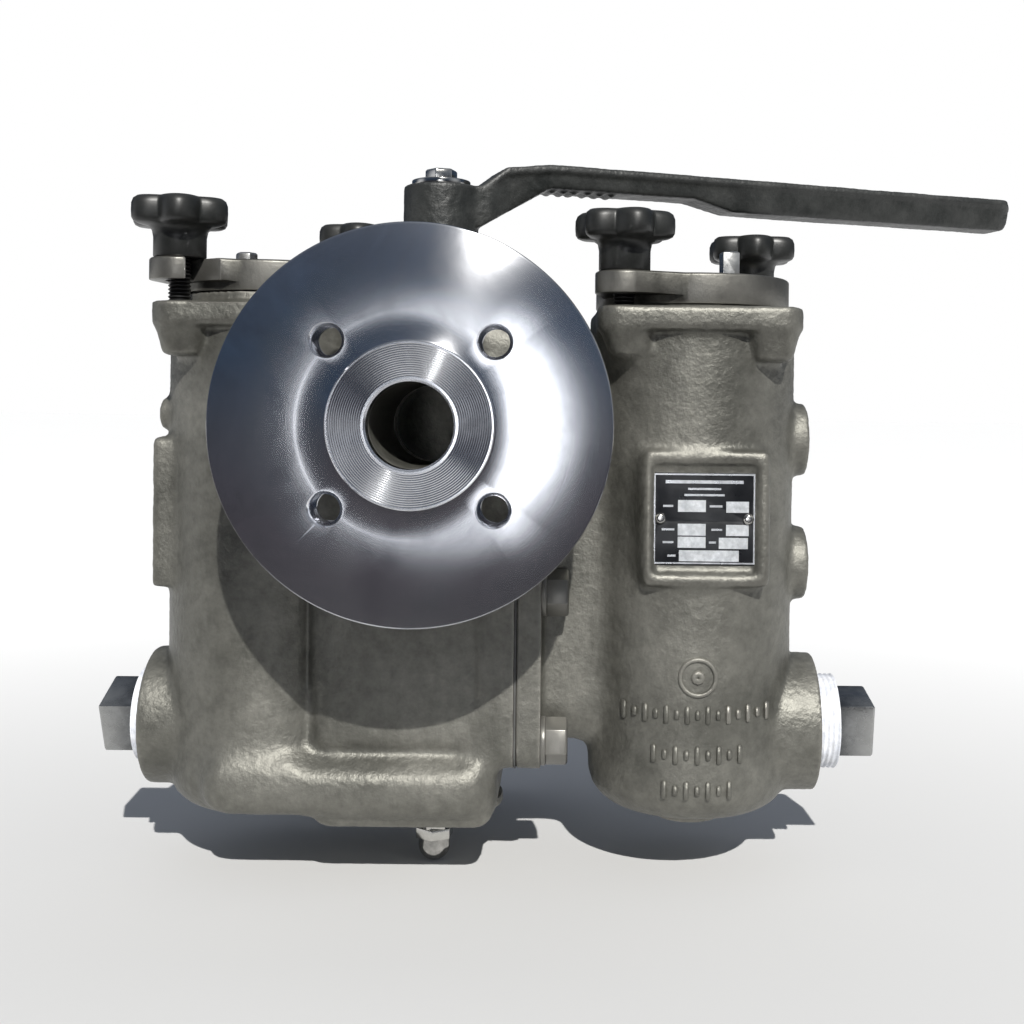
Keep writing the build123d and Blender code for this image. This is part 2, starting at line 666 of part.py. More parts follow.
def vent_plugs():
    """Small pipe plugs in the covers: a hexagonal one on the left, a square one on the right."""
    left_top_z = LEFT_SEAT_Z + COVER_GAP + COVER_THICK
    right_top_z = RIGHT_SEAT_Z + COVER_GAP + COVER_THICK
    with BuildPart() as hex_plug:
        with BuildSketch(Plane(origin=(LEFT_POT_X - VENT_X, VALVE_Y + VENT_Y, left_top_z))):
            RegularPolygon(HEX_PLUG_AF / 2, 6, major_radius=False)
        extrude(amount=HEX_PLUG_HIGH)
        chamfer(hex_plug.faces().sort_by(Axis.Z)[-1].edges(), EDGE_BREAK)
        with BuildSketch(Plane(origin=(LEFT_POT_X - VENT_X, VALVE_Y + VENT_Y, left_top_z))):
            Circle(HEX_PLUG_R)
        extrude(amount=-VENT_SHANK)
    save(hex_plug, "left_vent_plug")
    with BuildPart() as square_plug:
        with BuildSketch(Plane(origin=(RIGHT_POT_X + VENT_X, VALVE_Y - VENT_Y, right_top_z))):
            Rectangle(SQUARE_PLUG_AF, SQUARE_PLUG_AF, rotation=SQUARE_PLUG_TURN)
        extrude(amount=SQUARE_PLUG_HIGH)
        chamfer(square_plug.faces().sort_by(Axis.Z)[-1].edges(), EDGE_BREAK)
        with BuildSketch(Plane(origin=(RIGHT_POT_X + VENT_X, VALVE_Y - VENT_Y, right_top_z))):
            Circle(SQUARE_PLUG_R)
        extrude(amount=-VENT_SHANK)
    save(square_plug, "right_vent_plug")


def star_knob(name, x, y, bottom_z, turn):
    """Six-lobed moulded knob with a hub below and a blind socket for its stud."""
    lobe_z = bottom_z + KNOB_HUB_LONG
    with BuildPart() as knob:
        with BuildSketch(Plane(origin=(x, y, lobe_z))) as star:
            Circle(STAR_CORE_R)
            with PolarLocations(LOBE_CIRCLE_R, KNOB_LOBES, start_angle=turn):
                Circle(LOBE_R)
            fillet(star.vertices(), STAR_VALLEY_R)
        extrude(amount=LOBE_THICK)
        rims = knob.faces().filter_by(Axis.Z).edges()
        fillet(rims, KNOB_EDGE_R)
        with BuildSketch(Plane(origin=(x, y, bottom_z))):
            Circle(KNOB_HUB_R)
        extrude(amount=KNOB_HUB_LONG + KNOB_EDGE_R)
        with BuildSketch(Plane(origin=(x, y, bottom_z))):
            Circle(STUD_R + FIT)
        extrude(amount=KNOB_SOCKET, mode=Mode.SUBTRACT)
    save(knob, name)


def stud(name, x, y, knob_bottom_z):
    """Threaded rod of one knob, from its lug up into the knob."""
    foot_z = BLOCK_TOP_Z - STUD_HOLE_DEEP + STUD_END_GAP
    with BuildPart() as rod:
        with BuildSketch(Plane(origin=(x, y, foot_z))):
            Circle(STUD_R)
        extrude(amount=knob_bottom_z + KNOB_SOCKET - STUD_END_GAP - foot_z)
        chamfer(rod.faces().sort_by(Axis.Z)[0].edges(), EDGE_BREAK)
    save(rod, name)


def knobs_of_pot(side, x, seat_z):
    """Both knobs and studs of one pot."""
    knob_z = seat_z + COVER_GAP + COVER_THICK + KNOB_GAP
    for place, sign, turn in (("front", -1, FRONT_KNOB_TURN), ("rear", 1, REAR_KNOB_TURN)):
        stud_x = x + sign * STUD_X
        stud_y = VALVE_Y + sign * STUD_Y
        star_knob(f"{side}_{place}_knob", stud_x, stud_y, knob_z, turn)
        stud(f"{side}_{place}_stud", stud_x, stud_y, knob_z)


def drain_plug(side, face_x, tape_end_x, head_end_x, turn):
    """Square-headed pipe plug and the sealing tape on its thread."""
    outward = 1 if face_x > 0 else -1
    inner_x = face_x - outward * PLUG_ENGAGED
    with BuildPart() as tape:
        with BuildSketch(sideways(inner_x, DRAIN_Z)):
            Circle(TAPE_R)
            Circle(PLUG_THREAD_R + FIT, mode=Mode.SUBTRACT)
        extrude(amount=tape_end_x - inner_x)
    save(tape, f"{side}_drain_tape")
    with BuildPart() as plug:
        with BuildSketch(sideways(inner_x, DRAIN_Z)):
            Circle(PLUG_THREAD_R)
        extrude(amount=tape_end_x - inner_x)
        with BuildSketch(sideways(tape_end_x, DRAIN_Z)):
            Rectangle(PLUG_SQUARE, PLUG_SQUARE, rotation=turn)
        extrude(amount=head_end_x - tape_end_x)
        end_face = plug.faces().sort_by(Axis.X)[-1 if outward > 0 else 0]
        chamfer(end_face.edges(), EDGE_BREAK)
    save(plug, f"{side}_drain_plug")


# ---------------------------------------------------------------- changeover valve


def ball(name, z, has_link_slot_below):
    """Ball with a through port along the line and a side port towards the pot in use."""
    with BuildPart() as sphere:
        with Locations((0, VALVE_Y, z)):
            Sphere(BALL_R)
        with BuildSketch(upright(0, VALVE_Y, z)):
            Circle(LINE_BORE / 2)
        extrude(amount=BALL_R, both=True, mode=Mode.SUBTRACT)
        with BuildSketch(sideways(0, z)):
            Circle(LINE_BORE / 2)
        extrude(amount=BALL_R, mode=Mode.SUBTRACT)
        with BuildSketch(level(0, z + TANG_Z)):
            Rectangle(2 * TANG_LONG, TANG_WIDE + 2 * FIT)
        extrude(amount=BALL_R, mode=Mode.SUBTRACT)
        if has_link_slot_below:
            with BuildSketch(level(0, z - TANG_Z)):
                Rectangle(2 * TANG_LONG, TANG_WIDE + 2 * FIT)
            extrude(amount=-BALL_R, mode=Mode.SUBTRACT)
        else:
            with BuildSketch(level(0, z - TANG_Z)):
                Circle(TRUNNION_R)
            extrude(amount=-BALL_R, mode=Mode.SUBTRACT)
    save(sphere, name)


def ball_seats(name, z, line_side):
    """Three seat rings of one ball, each hollowed to the ball's sphere."""
    towards_line = Plane(origin=(0, VALVE_Y, z), x_dir=(1, 0, 0), z_dir=(0, line_side, 0))
    planes = (sideways(0, z), sideways(0, z).rotated((0, 180, 0)), towards_line)
    with BuildPart() as rings:
        for plane in planes:
            with BuildSketch(plane.offset(SEAT_INNER_X)):
                Circle(SEAT_POCKET_R)
                Circle(LINE_BORE / 2, mode=Mode.SUBTRACT)
            extrude(amount=SEAT_OUTER_X - SEAT_INNER_X)
        with Locations((0, VALVE_Y, z)):
            Sphere(BALL_R + FIT, mode=Mode.SUBTRACT)
    save(rings, name)


def stem():
    """Stem with a tang below, a retaining collar, and a square drive for the lever."""
    shaft_bottom_z = BALL_R + BALL_GAP
    square_bottom_z = LEVER_HUB_BOTTOM_Z - STEM_SHOULDER_GAP
    with BuildPart() as shaft:
        with BuildSketch(level(0, TANG_Z + TANG_END_GAP)):
            Rectangle(TANG_LONG, TANG_WIDE)
        extrude(amount=shaft_bottom_z - TANG_Z)
        with BuildSketch(level(0, shaft_bottom_z)):
            Circle(STEM_COLLAR_R)
        extrude(amount=STEM_COLLAR_THICK)
        with BuildSketch(level(0, shaft_bottom_z)):
            Circle(STEM_R)
        extrude(amount=square_bottom_z - shaft_bottom_z)
        with BuildSketch(level(0, square_bottom_z)):
            Rectangle(STEM_SQUARE, STEM_SQUARE, rotation=LEVER_ANGLE)
        extrude(amount=LEVER_HUB_TOP_Z - square_bottom_z - STEM_SHOULDER_GAP)
        with BuildSketch(level(0, LEVER_HUB_TOP_Z)):
            Circle(LEVER_BOLT_R)
        extrude(amount=-LEVER_BOLT_LONG, mode=Mode.SUBTRACT)
    save(shaft, "stem")


def link_shaft():
    """Shaft that turns the lower ball with the upper one."""
    upper_z = -BALL_R - BALL_GAP
    lower_z = LOWER_PORT_Z + BALL_R + BALL_GAP
    tang_low_z = LOWER_PORT_Z + TANG_Z + TANG_END_GAP
    tang_high_z = -TANG_Z - TANG_END_GAP
    with BuildPart() as shaft:
        with BuildSketch(level(0, tang_low_z)):
            Rectangle(LINK_TANG_LONG, TANG_WIDE)
        extrude(amount=tang_high_z - tang_low_z)
        with BuildSketch(level(0, lower_z)):
            Circle(LINK_R)
        extrude(amount=upper_z - lower_z)
    save(shaft, "link_shaft")


def bottom_pieces():
    """Trunnion, bottom plug, adjusting screw, jam nut and acorn nut under the lower ball."""
    plug_top = LOWER_PORT_Z - BALL_R - 2 * BALL_GAP
    screw_top = TRUNNION_END_Z - 0.4
    with BuildPart() as trunnion:
        with BuildSketch(level(0, TRUNNION_END_Z)):
            Circle(TRUNNION_R)
        extrude(amount=LOWER_PORT_Z - TANG_Z - TRUNNION_END_Z)
    save(trunnion, "lower_trunnion")
    with BuildPart() as plug:
        with BuildSketch(level(0, BODY_BOTTOM_Z)):
            Circle(CHAMBER_R)
        extrude(amount=plug_top - BODY_BOTTOM_Z)
        with BuildSketch(level(0, BODY_BOTTOM_Z)):
            Circle(CHAMBER_PLUG_SEAT_R)
        extrude(amount=CHAMBER_PLUG_SEAT_DEEP)
        with BuildSketch(level(0, ADJUSTER_BOSS_END_Z)):
            Circle(ADJUSTER_BOSS_R)
        extrude(amount=BODY_BOTTOM_Z - ADJUSTER_BOSS_END_Z)
        with BuildSketch(level(0, ADJUSTER_BOSS_END_Z)):
            Circle(ADJUSTER_R)
        extrude(amount=screw_top - ADJUSTER_BOSS_END_Z, mode=Mode.SUBTRACT)
        with BuildSketch(level(0, screw_top)):
            Circle(TRUNNION_R + FIT)
        extrude(amount=plug_top - screw_top, mode=Mode.SUBTRACT)
    save(plug, "bottom_plug")
    with BuildPart() as screw:
        with BuildSketch(level(0, screw_top)):
            Circle(ADJUSTER_R)
        extrude(amount=JAM_NUT_END_Z - ACORN_DEEP - screw_top)
    save(screw, "adjusting_screw")
    with BuildPart() as jam:
        with BuildSketch(level(0, ADJUSTER_BOSS_END_Z)):
            RegularPolygon(JAM_NUT_AF / 2, 6, major_radius=False, rotation=JAM_NUT_TURN)
            Circle(ADJUSTER_R, mode=Mode.SUBTRACT)
        extrude(amount=JAM_NUT_END_Z - ADJUSTER_BOSS_END_Z)
    save(jam, "jam_nut")
    acorn_nut()


def acorn_nut():
    """Domed nut on the end of the adjusting screw."""
    dome_z = ACORN_HEX_END_Z - ACORN_COLLAR
    tip_z = dome_z - ACORN_DOME_R
    with BuildPart() as acorn:
        with BuildSketch(level(0, JAM_NUT_END_Z)):
            RegularPolygon(ACORN_AF / 2, 6, major_radius=False, rotation=ACORN_TURN)
        extrude(amount=ACORN_HEX_END_Z - JAM_NUT_END_Z)
        with BuildSketch(upright(0)):
            with BuildLine():
                Line((0, ACORN_HEX_END_Z), (ACORN_DOME_R, ACORN_HEX_END_Z))
                Line((ACORN_DOME_R, ACORN_HEX_END_Z), (ACORN_DOME_R, dome_z))
                RadiusArc((ACORN_DOME_R, dome_z), (0, tip_z), ACORN_DOME_R)
                Line((0, tip_z), (0, ACORN_HEX_END_Z))
            make_face()
        revolve(axis=Axis((0, VALVE_Y, 0), (0, 0, 1)))
        with BuildSketch(level(0, JAM_NUT_END_Z)):
            Circle(ADJUSTER_R)
        extrude(amount=-ACORN_DEEP, mode=Mode.SUBTRACT)
    save(acorn, "acorn_nut")


# ---------------------------------------------------------------- bonnet


def bonnet():
    """Bonnet plate with its spigot and stuffing box."""
    plate_top = HOUSING_TOP_Z + BONNET_THICK
    with BuildPart() as cap:
        with BuildSketch(level(0, HOUSING_TOP_Z)):
            RectangleRounded(BONNET_WIDE, BONNET_DEEP, BONNET_CORNER_R)
        extrude(amount=BONNET_THICK)
        with BuildSketch(level(0, BONNET_SPIGOT_Z)):
            Circle(CHAMBER_R - FIT)
        extrude(amount=HOUSING_TOP_Z - BONNET_SPIGOT_Z)
        with BuildSketch(level(0, plate_top)):
            Circle(STUFFING_BOX_R)
        extrude(amount=STUFFING_BOX_TOP_Z - plate_top)
        with BuildSketch(level(0, BONNET_SPIGOT_Z)):
            Circle(STEM_R + FIT)
        extrude(amount=STUFFING_BOX_TOP_Z - BONNET_SPIGOT_Z, mode=Mode.SUBTRACT)
        with BuildSketch(level(0, PACKING_BOTTOM_Z)):
            Circle(PACKING_R)
        extrude(amount=STUFFING_BOX_TOP_Z - PACKING_BOTTOM_Z, mode=Mode.SUBTRACT)
        with BuildSketch(level(0, HOUSING_TOP_Z)):
            with GridLocations(BONNET_SCREW_PITCH_X, BONNET_SCREW_PITCH_Y, 2, 2):
                Circle(BONNET_SCREW_R + BOLT_CLEARANCE)
        extrude(amount=BONNET_THICK, mode=Mode.SUBTRACT)
    save(cap, "bonnet")


def bonnet_screws():
    """Four hexagon screws of the bonnet."""
    plate_top = HOUSING_TOP_Z + BONNET_THICK
    with BuildPart() as screws:
        with BuildSketch(level(0, plate_top)):
            with GridLocations(BONNET_SCREW_PITCH_X, BONNET_SCREW_PITCH_Y, 2, 2):
                RegularPolygon(BONNET_SCREW_AF / 2, 6, major_radius=False)
        extrude(amount=BONNET_SCREW_HEAD)
        with BuildSketch(level(0, plate_top)):
            with GridLocations(BONNET_SCREW_PITCH_X, BONNET_SCREW_PITCH_Y, 2, 2):
                Circle(BONNET_SCREW_R)
        extrude(amount=-BONNET_THICK - BONNET_SCREW_DEEP + 1)
    save(screws, "bonnet_screws")


def stem_seal():
    """Packing around the stem and the gland that presses it."""
    with BuildPart() as packing:
        with BuildSketch(level(0, PACKING_BOTTOM_Z)):
            Circle(PACKING_R)
            Circle(STEM_R + FIT, mode=Mode.SUBTRACT)
        extrude(amount=PACKING_TOP_Z - PACKING_BOTTOM_Z)
    save(packing, "stem_packing")
    with BuildPart() as gland:
        with BuildSketch(level(0, PACKING_TOP_Z)):
            Circle(PACKING_R)
        extrude(amount=STUFFING_BOX_TOP_Z - PACKING_TOP_Z)
        with BuildSketch(level(0, STUFFING_BOX_TOP_Z)):
            Circle(GLAND_FLANGE_R)
        extrude(amount=GLAND_FLANGE_THICK)
        with BuildSketch(level(0, PACKING_TOP_Z)):
            Circle(STEM_R + FIT)
        extrude(amount=STUFFING_BOX_TOP_Z + GLAND_FLANGE_THICK - PACKING_TOP_Z, mode=Mode.SUBTRACT)
    save(gland, "packing_gland")


# ---------------------------------------------------------------- lever and nameplate


def lever():
    """Cast lever: hub, cranked web, and a deeper grip with a rounded end."""
    angle = radians(LEVER_ANGLE)
    arm_dir = (cos(angle), sin(angle), 0)
    along = Plane(origin=(0, VALVE_Y, 0), x_dir=arm_dir, z_dir=(sin(angle), -cos(angle), 0))
    plan = Plane(origin=(0, VALVE_Y, LEVER_HUB_BOTTOM_Z), x_dir=arm_dir, z_dir=(0, 0, 1))
    hub_high = LEVER_HUB_TOP_Z - LEVER_HUB_BOTTOM_Z
    with BuildPart() as arm:
        with BuildSketch(along) as side:
            with BuildLine():
                Polyline(
                    (0, LEVER_ROOT_BOTTOM_Z),
                    (LEVER_ROOT_X, LEVER_ROOT_BOTTOM_Z),
                    (LEVER_WEB_X, LEVER_WEB_BOTTOM_Z),
                    (LEVER_GRIP_X - LEVER_GRIP_RAMP, LEVER_WEB_BOTTOM_Z),
                    (LEVER_GRIP_X, LEVER_GRIP_BOTTOM_Z),
                    (LEVER_LONG, LEVER_GRIP_BOTTOM_Z),
                    (LEVER_LONG, LEVER_TOP_Z),
                    (LEVER_WEB_X, LEVER_TOP_Z),
                    (LEVER_SHOULDER_X, LEVER_SHOULDER_Z),
                    (LEVER_ROOT_X, LEVER_HUB_TOP_Z),
                    (0, LEVER_HUB_TOP_Z),
                    close=True,
                )
            make_face()
            tip = side.vertices().sort_by(Axis.X)[-2:]
            fillet(tip, LEVER_TIP_R)
        extrude(amount=LEVER_HALF_WIDE, both=True)
        fillet(arm.edges().filter_by(lambda edge: edge.center().Z > LEVER_TOP_Z - EDGE_BREAK), 2 * EDGE_BREAK)
        with BuildSketch(plan):
            with Locations((LEVER_LONG / 2, 0)):
                RectangleRounded(LEVER_LONG, 2 * LEVER_HALF_WIDE, LEVER_HALF_WIDE - EDGE_BREAK)
        extrude(amount=2 * hub_high, mode=Mode.INTERSECT)
        with BuildSketch(plan):
            Circle(LEVER_HUB_R)
        extrude(amount=hub_high)
        with BuildSketch(plan.offset(hub_high)):
            Circle(LEVER_SPOTFACE_R)
        extrude(amount=hub_high, mode=Mode.SUBTRACT)
        with BuildSketch(plan):
            Rectangle(STEM_SQUARE + FIT, STEM_SQUARE + FIT)
        extrude(amount=2 * hub_high, mode=Mode.SUBTRACT)
    save(arm, "lever")


def lever_fasteners():
    """Washer and hexagon bolt that hold the lever on the stem."""
    washer_top = LEVER_HUB_TOP_Z + LEVER_WASHER_THICK
    with BuildPart() as washer:
        with BuildSketch(level(0, LEVER_HUB_TOP_Z)):
            Circle(LEVER_WASHER_R)
            Circle(LEVER_BOLT_R, mode=Mode.SUBTRACT)
        extrude(amount=LEVER_WASHER_THICK)
    save(washer, "lever_washer")
    with BuildPart() as bolt:
        with BuildSketch(level(0, washer_top)):
            RegularPolygon(LEVER_BOLT_AF / 2, 6, major_radius=False, rotation=LEVER_BOLT_TURN)
        extrude(amount=LEVER_BOLT_HEAD)
        chamfer(bolt.faces().sort_by(Axis.Z)[-1].edges(), EDGE_BREAK)
        with BuildSketch(level(0, washer_top)):
            Circle(LEVER_BOLT_R)
        extrude(amount=-LEVER_BOLT_LONG)
    save(bolt, "lever_bolt")


def nameplate_pieces():
    """Metal nameplate in the right pot's frame and its two round-headed drive screws."""
    with BuildPart() as plate:
        with BuildSketch(upright(PLATE_X, PLATE_FLOOR_Y, PLATE_Z)):
            RectangleRounded(PLATE_WIDE, PLATE_HIGH, 0.6)
            with Locations((-PLATE_SCREW_X, 0), (PLATE_SCREW_X, 0)):
                Circle(PLATE_SCREW_R, mode=Mode.SUBTRACT)
        extrude(amount=PLATE_THICK)
    save(plate, "nameplate")
    with BuildPart() as screws:
        with BuildSketch(upright(PLATE_X, PLATE_FLOOR_Y - PLATE_THICK, PLATE_Z)):
            with Locations((-PLATE_SCREW_X, 0), (PLATE_SCREW_X, 0)):
                Circle(PLATE_SCREW_HEAD_R)
        extrude(amount=1.5)
        chamfer(screws.faces().group_by(Axis.Y)[0].edges(), EDGE_BREAK)
        with BuildSketch(upright(PLATE_X, PLATE_FLOOR_Y - PLATE_THICK, PLATE_Z)):
            with Locations((-PLATE_SCREW_X, 0), (PLATE_SCREW_X, 0)):
                Circle(PLATE_SCREW_R)
        extrude(amount=-PLATE_SCREW_DEEP)
    save(screws, "nameplate_screws")


left_casting()
right_casting()
joint_pieces()
line_flange("inlet_flange", 0, 0, -1)
line_flange("outlet_flange", OUTLET_Y, LOWER_PORT_Z, 1)
for side, pot_x, seat_z in (("left", LEFT_POT_X, LEFT_SEAT_Z), ("right", RIGHT_POT_X, RIGHT_SEAT_Z)):
    basket(f"{side}_basket", pot_x)
    bail(f"{side}_bail", pot_x)
    cover_seal(f"{side}_cover_seal", pot_x, seat_z)
    knobs_of_pot(side, pot_x, seat_z)
cover("left_cover", LEFT_POT_X, LEFT_SEAT_Z, 0, HEX_PLUG_R)
cover("right_cover", RIGHT_POT_X, RIGHT_SEAT_Z, 180, SQUARE_PLUG_R)
vent_plugs()
drain_plug("left", LEFT_DRAIN_X, LEFT_TAPE_END_X, LEFT_PLUG_END_X, LEFT_PLUG_TURN)
drain_plug("right", RIGHT_DRAIN_X, RIGHT_TAPE_END_X, RIGHT_PLUG_END_X, RIGHT_PLUG_TURN)
ball("upper_ball", 0, True)
ball("lower_ball", LOWER_PORT_Z, False)
ball_seats("upper_ball_seats", 0, -1)
ball_seats("lower_ball_seats", LOWER_PORT_Z, 1)
stem()
link_shaft()
bottom_pieces()
bonnet()
bonnet_screws()
stem_seal()
lever()
lever_fasteners()
nameplate_pieces()
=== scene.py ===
import json
import math

import bmesh
import bpy
import numpy as np
from mathutils import Matrix, Vector

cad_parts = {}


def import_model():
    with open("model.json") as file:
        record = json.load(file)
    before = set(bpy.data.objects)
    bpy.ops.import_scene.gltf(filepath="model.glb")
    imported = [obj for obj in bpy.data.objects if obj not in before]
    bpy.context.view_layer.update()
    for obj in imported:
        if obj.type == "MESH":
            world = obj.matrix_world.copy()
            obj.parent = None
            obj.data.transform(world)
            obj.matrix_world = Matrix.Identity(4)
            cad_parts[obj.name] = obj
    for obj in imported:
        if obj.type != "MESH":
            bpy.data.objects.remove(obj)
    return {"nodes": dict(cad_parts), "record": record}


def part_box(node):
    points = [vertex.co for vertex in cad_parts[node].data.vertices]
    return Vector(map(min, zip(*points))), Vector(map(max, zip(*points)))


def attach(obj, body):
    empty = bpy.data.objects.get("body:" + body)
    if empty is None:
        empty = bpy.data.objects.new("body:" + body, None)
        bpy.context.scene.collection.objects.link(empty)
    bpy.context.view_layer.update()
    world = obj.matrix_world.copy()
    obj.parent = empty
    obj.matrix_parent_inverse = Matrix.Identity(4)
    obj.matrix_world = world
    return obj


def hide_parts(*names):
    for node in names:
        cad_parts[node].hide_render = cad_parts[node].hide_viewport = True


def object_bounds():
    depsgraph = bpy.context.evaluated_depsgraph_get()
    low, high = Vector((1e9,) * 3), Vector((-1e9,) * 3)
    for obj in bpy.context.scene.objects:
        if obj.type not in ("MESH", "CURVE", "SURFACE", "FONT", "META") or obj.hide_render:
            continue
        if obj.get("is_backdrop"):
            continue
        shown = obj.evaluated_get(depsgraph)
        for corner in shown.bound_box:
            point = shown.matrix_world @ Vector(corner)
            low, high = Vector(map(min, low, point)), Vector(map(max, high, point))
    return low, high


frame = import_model()
cad_low, cad_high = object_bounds()
nodes = frame["nodes"]
BODY_OF = {n: b for b, ns in frame["record"]["behaviour"]["bodies"].items() for n in ns}
SLOT_OF = {s["node"]: s["material_slot"] for s in frame["record"]["subparts"]}

MM = 0.001
VALVE_Y = 110.0
LOWER_Z = -104.0
DRAIN_Z = -134.0
POT_X = {"left": -74.5, "right": 115.0}
STUD_OFF_X = 32.6
STUD_OFF_Y = 40.0
LEVER_ANGLE = math.radians(20.0)
SHARP_ANGLE = 32.0
PLATE_X = 117.0
PLATE_Z = -39.0
X_AXIS, Y_AXIS, Z_AXIS = 0, 1, 2
SCENE = bpy.context.scene


# ------------------------------------------------------------------ materials


def node_adder(tree):
    """A function that adds a node to tree, with sockets linked and values set from inputs."""

    def add(kind, inputs=None, **settings):
        node = tree.nodes.new(kind)
        for key, value in settings.items():
            setattr(node, key, value)
        for key, value in (inputs or {}).items():
            if isinstance(value, bpy.types.NodeSocket):
                tree.links.new(value, node.inputs[key])
            else:
                node.inputs[key].default_value = value
        return node

    return add


def new_material(name):
    """An empty node material with its shader, and helpers that add nodes and link sockets."""
    mat = bpy.data.materials.new(name)
    mat.use_nodes = True
    tree = mat.node_tree
    return mat, tree.nodes["Principled BSDF"], node_adder(tree), tree.links.new


def rgba(colour):
    return (*colour, 1.0)


def ramp(add, value, stops):
    """A colour ramp read at value: stops are (position, colour)."""
    node = add("ShaderNodeValToRGB", {"Fac": value})
    elements = node.color_ramp.elements
    while len(elements) < len(stops):
        elements.new(0.5)
    for element, (position, colour) in zip(elements, stops):
        element.position = position
        element.color = rgba(colour)
    return node.outputs["Color"]


def noise(add, coords, scale, detail=4.0, rough=0.55, distortion=0.0):
    node = add("ShaderNodeTexNoise", {"Vector": coords, "Scale": scale, "Detail": detail, "Roughness": rough,
                                      "Distortion": distortion})
    return node.outputs["Fac"]


def remap(add, value, low, high, from_low=0.3, from_high=0.7):
    node = add("ShaderNodeMapRange", {"Value": value, "From Min": from_low, "From Max": from_high,
                                      "To Min": low, "To Max": high})
    return node.outputs["Result"]


def mix(add, kind, factor, a, b):
    node = add("ShaderNodeMix", data_type="RGBA", blend_type=kind)
    tree_links = node.id_data.links
    for key, value in ((0, factor), (6, a), (7, b)):
        if isinstance(value, bpy.types.NodeSocket):
            tree_links.new(value, node.inputs[key])
        else:
            node.inputs[key].default_value = value if key == 0 else rgba(value)
    return node.outputs[2]


def bump(add, height, strength, distance, normal=None):
    inputs = {"Height": height, "Strength": strength, "Distance": distance}
    if normal is not None:
        inputs["Normal"] = normal
    return add("ShaderNodeBump", inputs).outputs["Normal"]


def worn_edges(add):
    """0 in flat places to 1 along outside edges."""
    point = add("ShaderNodeNewGeometry").outputs["Pointiness"]
    return remap(add, point, 0.0, 1.0, 0.51, 0.60)


def surface(name, dark, light, metallic, rough, cloud, grain, relief, edge=None, pits=0.0):
    """A mottled finish: cloudy colour from dark to light, grain in bump and roughness, brighter edges."""
    mat, shader, add, link = new_material(name)
    coords = add("ShaderNodeTexCoord").outputs["Object"]
    clouds = noise(add, coords, cloud, 6.0, 0.62)
    fine = noise(add, coords, grain, 5.0, 0.6)
    speckle = noise(add, coords, grain * 0.35, 3.0, 0.7)
    colour = ramp(add, clouds, ((0.3, dark), (0.7, light)))
    shade = remap(add, speckle, 0.80, 1.16)
    gray = add("ShaderNodeCombineColor", {"Red": shade, "Green": shade, "Blue": shade}).outputs["Color"]
    colour = mix(add, "MULTIPLY", 1.0, colour, gray)
    if edge is not None:
        colour = mix(add, "MIX", worn_edges(add), colour, edge)
    link(colour, shader.inputs["Base Color"])
    link(remap(add, clouds, rough[0], rough[1]), shader.inputs["Roughness"])
    shader.inputs["Metallic"].default_value = metallic
    normal = bump(add, fine, 1.0, relief)
    if pits:
        cells = add("ShaderNodeTexVoronoi", {"Vector": coords, "Scale": grain * 0.25}).outputs["Distance"]
        normal = bump(add, remap(add, cells, 0.0, 1.0, 0.0, 0.25), 0.6, pits, normal)
    link(normal, shader.inputs["Normal"])
    return mat


def turned_metal(name, axis_place, turned_about, dark, light, rough):
    """Lathe-turned metal: fine rings about an axis through axis_place, stretched highlights, smudges."""
    mat, shader, add, link = new_material(name)
    coords = add("ShaderNodeTexCoord").outputs["Object"]
    to_centre = [-v for v in axis_place]
    keep = [0.0 if turned_about == i else 1.0 for i in range(3)]
    centred = add("ShaderNodeVectorMath", {0: coords, 1: to_centre}, operation="ADD").outputs["Vector"]
    flat = add("ShaderNodeVectorMath", {0: centred, 1: keep}, operation="MULTIPLY").outputs["Vector"]
    radius = add("ShaderNodeVectorMath", {0: flat}, operation="LENGTH").outputs["Value"]
    rings = noise(add, add("ShaderNodeCombineXYZ", {"X": radius}).outputs["Vector"], 1500.0, 3.0, 0.7)
    smears = noise(add, coords, 16.0, 8.0, 0.65, 0.8)
    link(ramp(add, smears, ((0.32, dark), (0.58, light), (0.8, light))), shader.inputs["Base Color"])
    shader.inputs["Metallic"].default_value = 1.0
    shader.inputs["Anisotropic"].default_value = 0.75
    link(flat, shader.inputs["Tangent"])
    link(remap(add, smears, rough[1], rough[0]), shader.inputs["Roughness"])
    link(bump(add, rings, 1.0, 0.00001), shader.inputs["Normal"])
    return mat


CAST = surface("cast_stainless", (0.110, 0.109, 0.095), (0.225, 0.221, 0.196), metallic=0.6,
               rough=(0.38, 0.56), cloud=22.0, grain=520.0, relief=0.00035, edge=(0.30, 0.29, 0.26),
               pits=0.00012)
COVER = surface("cover_metal", (0.050, 0.049, 0.043), (0.125, 0.122, 0.108), metallic=0.7,
                rough=(0.30, 0.50), cloud=40.0, grain=500.0, relief=0.00012, edge=(0.42, 0.41, 0.38))
FASTENER = surface("bright_fastener", (0.30, 0.30, 0.29), (0.55, 0.54, 0.52), metallic=1.0,
                   rough=(0.08, 0.24), cloud=120.0, grain=900.0, relief=0.00003, edge=(0.75, 0.74, 0.70))
DULL_FASTENER = surface("dull_fastener", (0.030, 0.030, 0.028), (0.070, 0.069, 0.063), metallic=0.5,
                        rough=(0.30, 0.46), cloud=120.0, grain=900.0, relief=0.00004,
                        edge=(0.36, 0.35, 0.32))
PLUG = surface("plug_metal", (0.09, 0.095, 0.10), (0.26, 0.265, 0.27), metallic=0.95,
               rough=(0.18, 0.40), cloud=90.0, grain=700.0, relief=0.00005, edge=(0.68, 0.68, 0.66))
IRON = surface("black_iron", (0.016, 0.018, 0.017), (0.044, 0.046, 0.044), metallic=0.1,
               rough=(0.34, 0.55), cloud=60.0, grain=430.0, relief=0.00035, edge=(0.05, 0.05, 0.05))
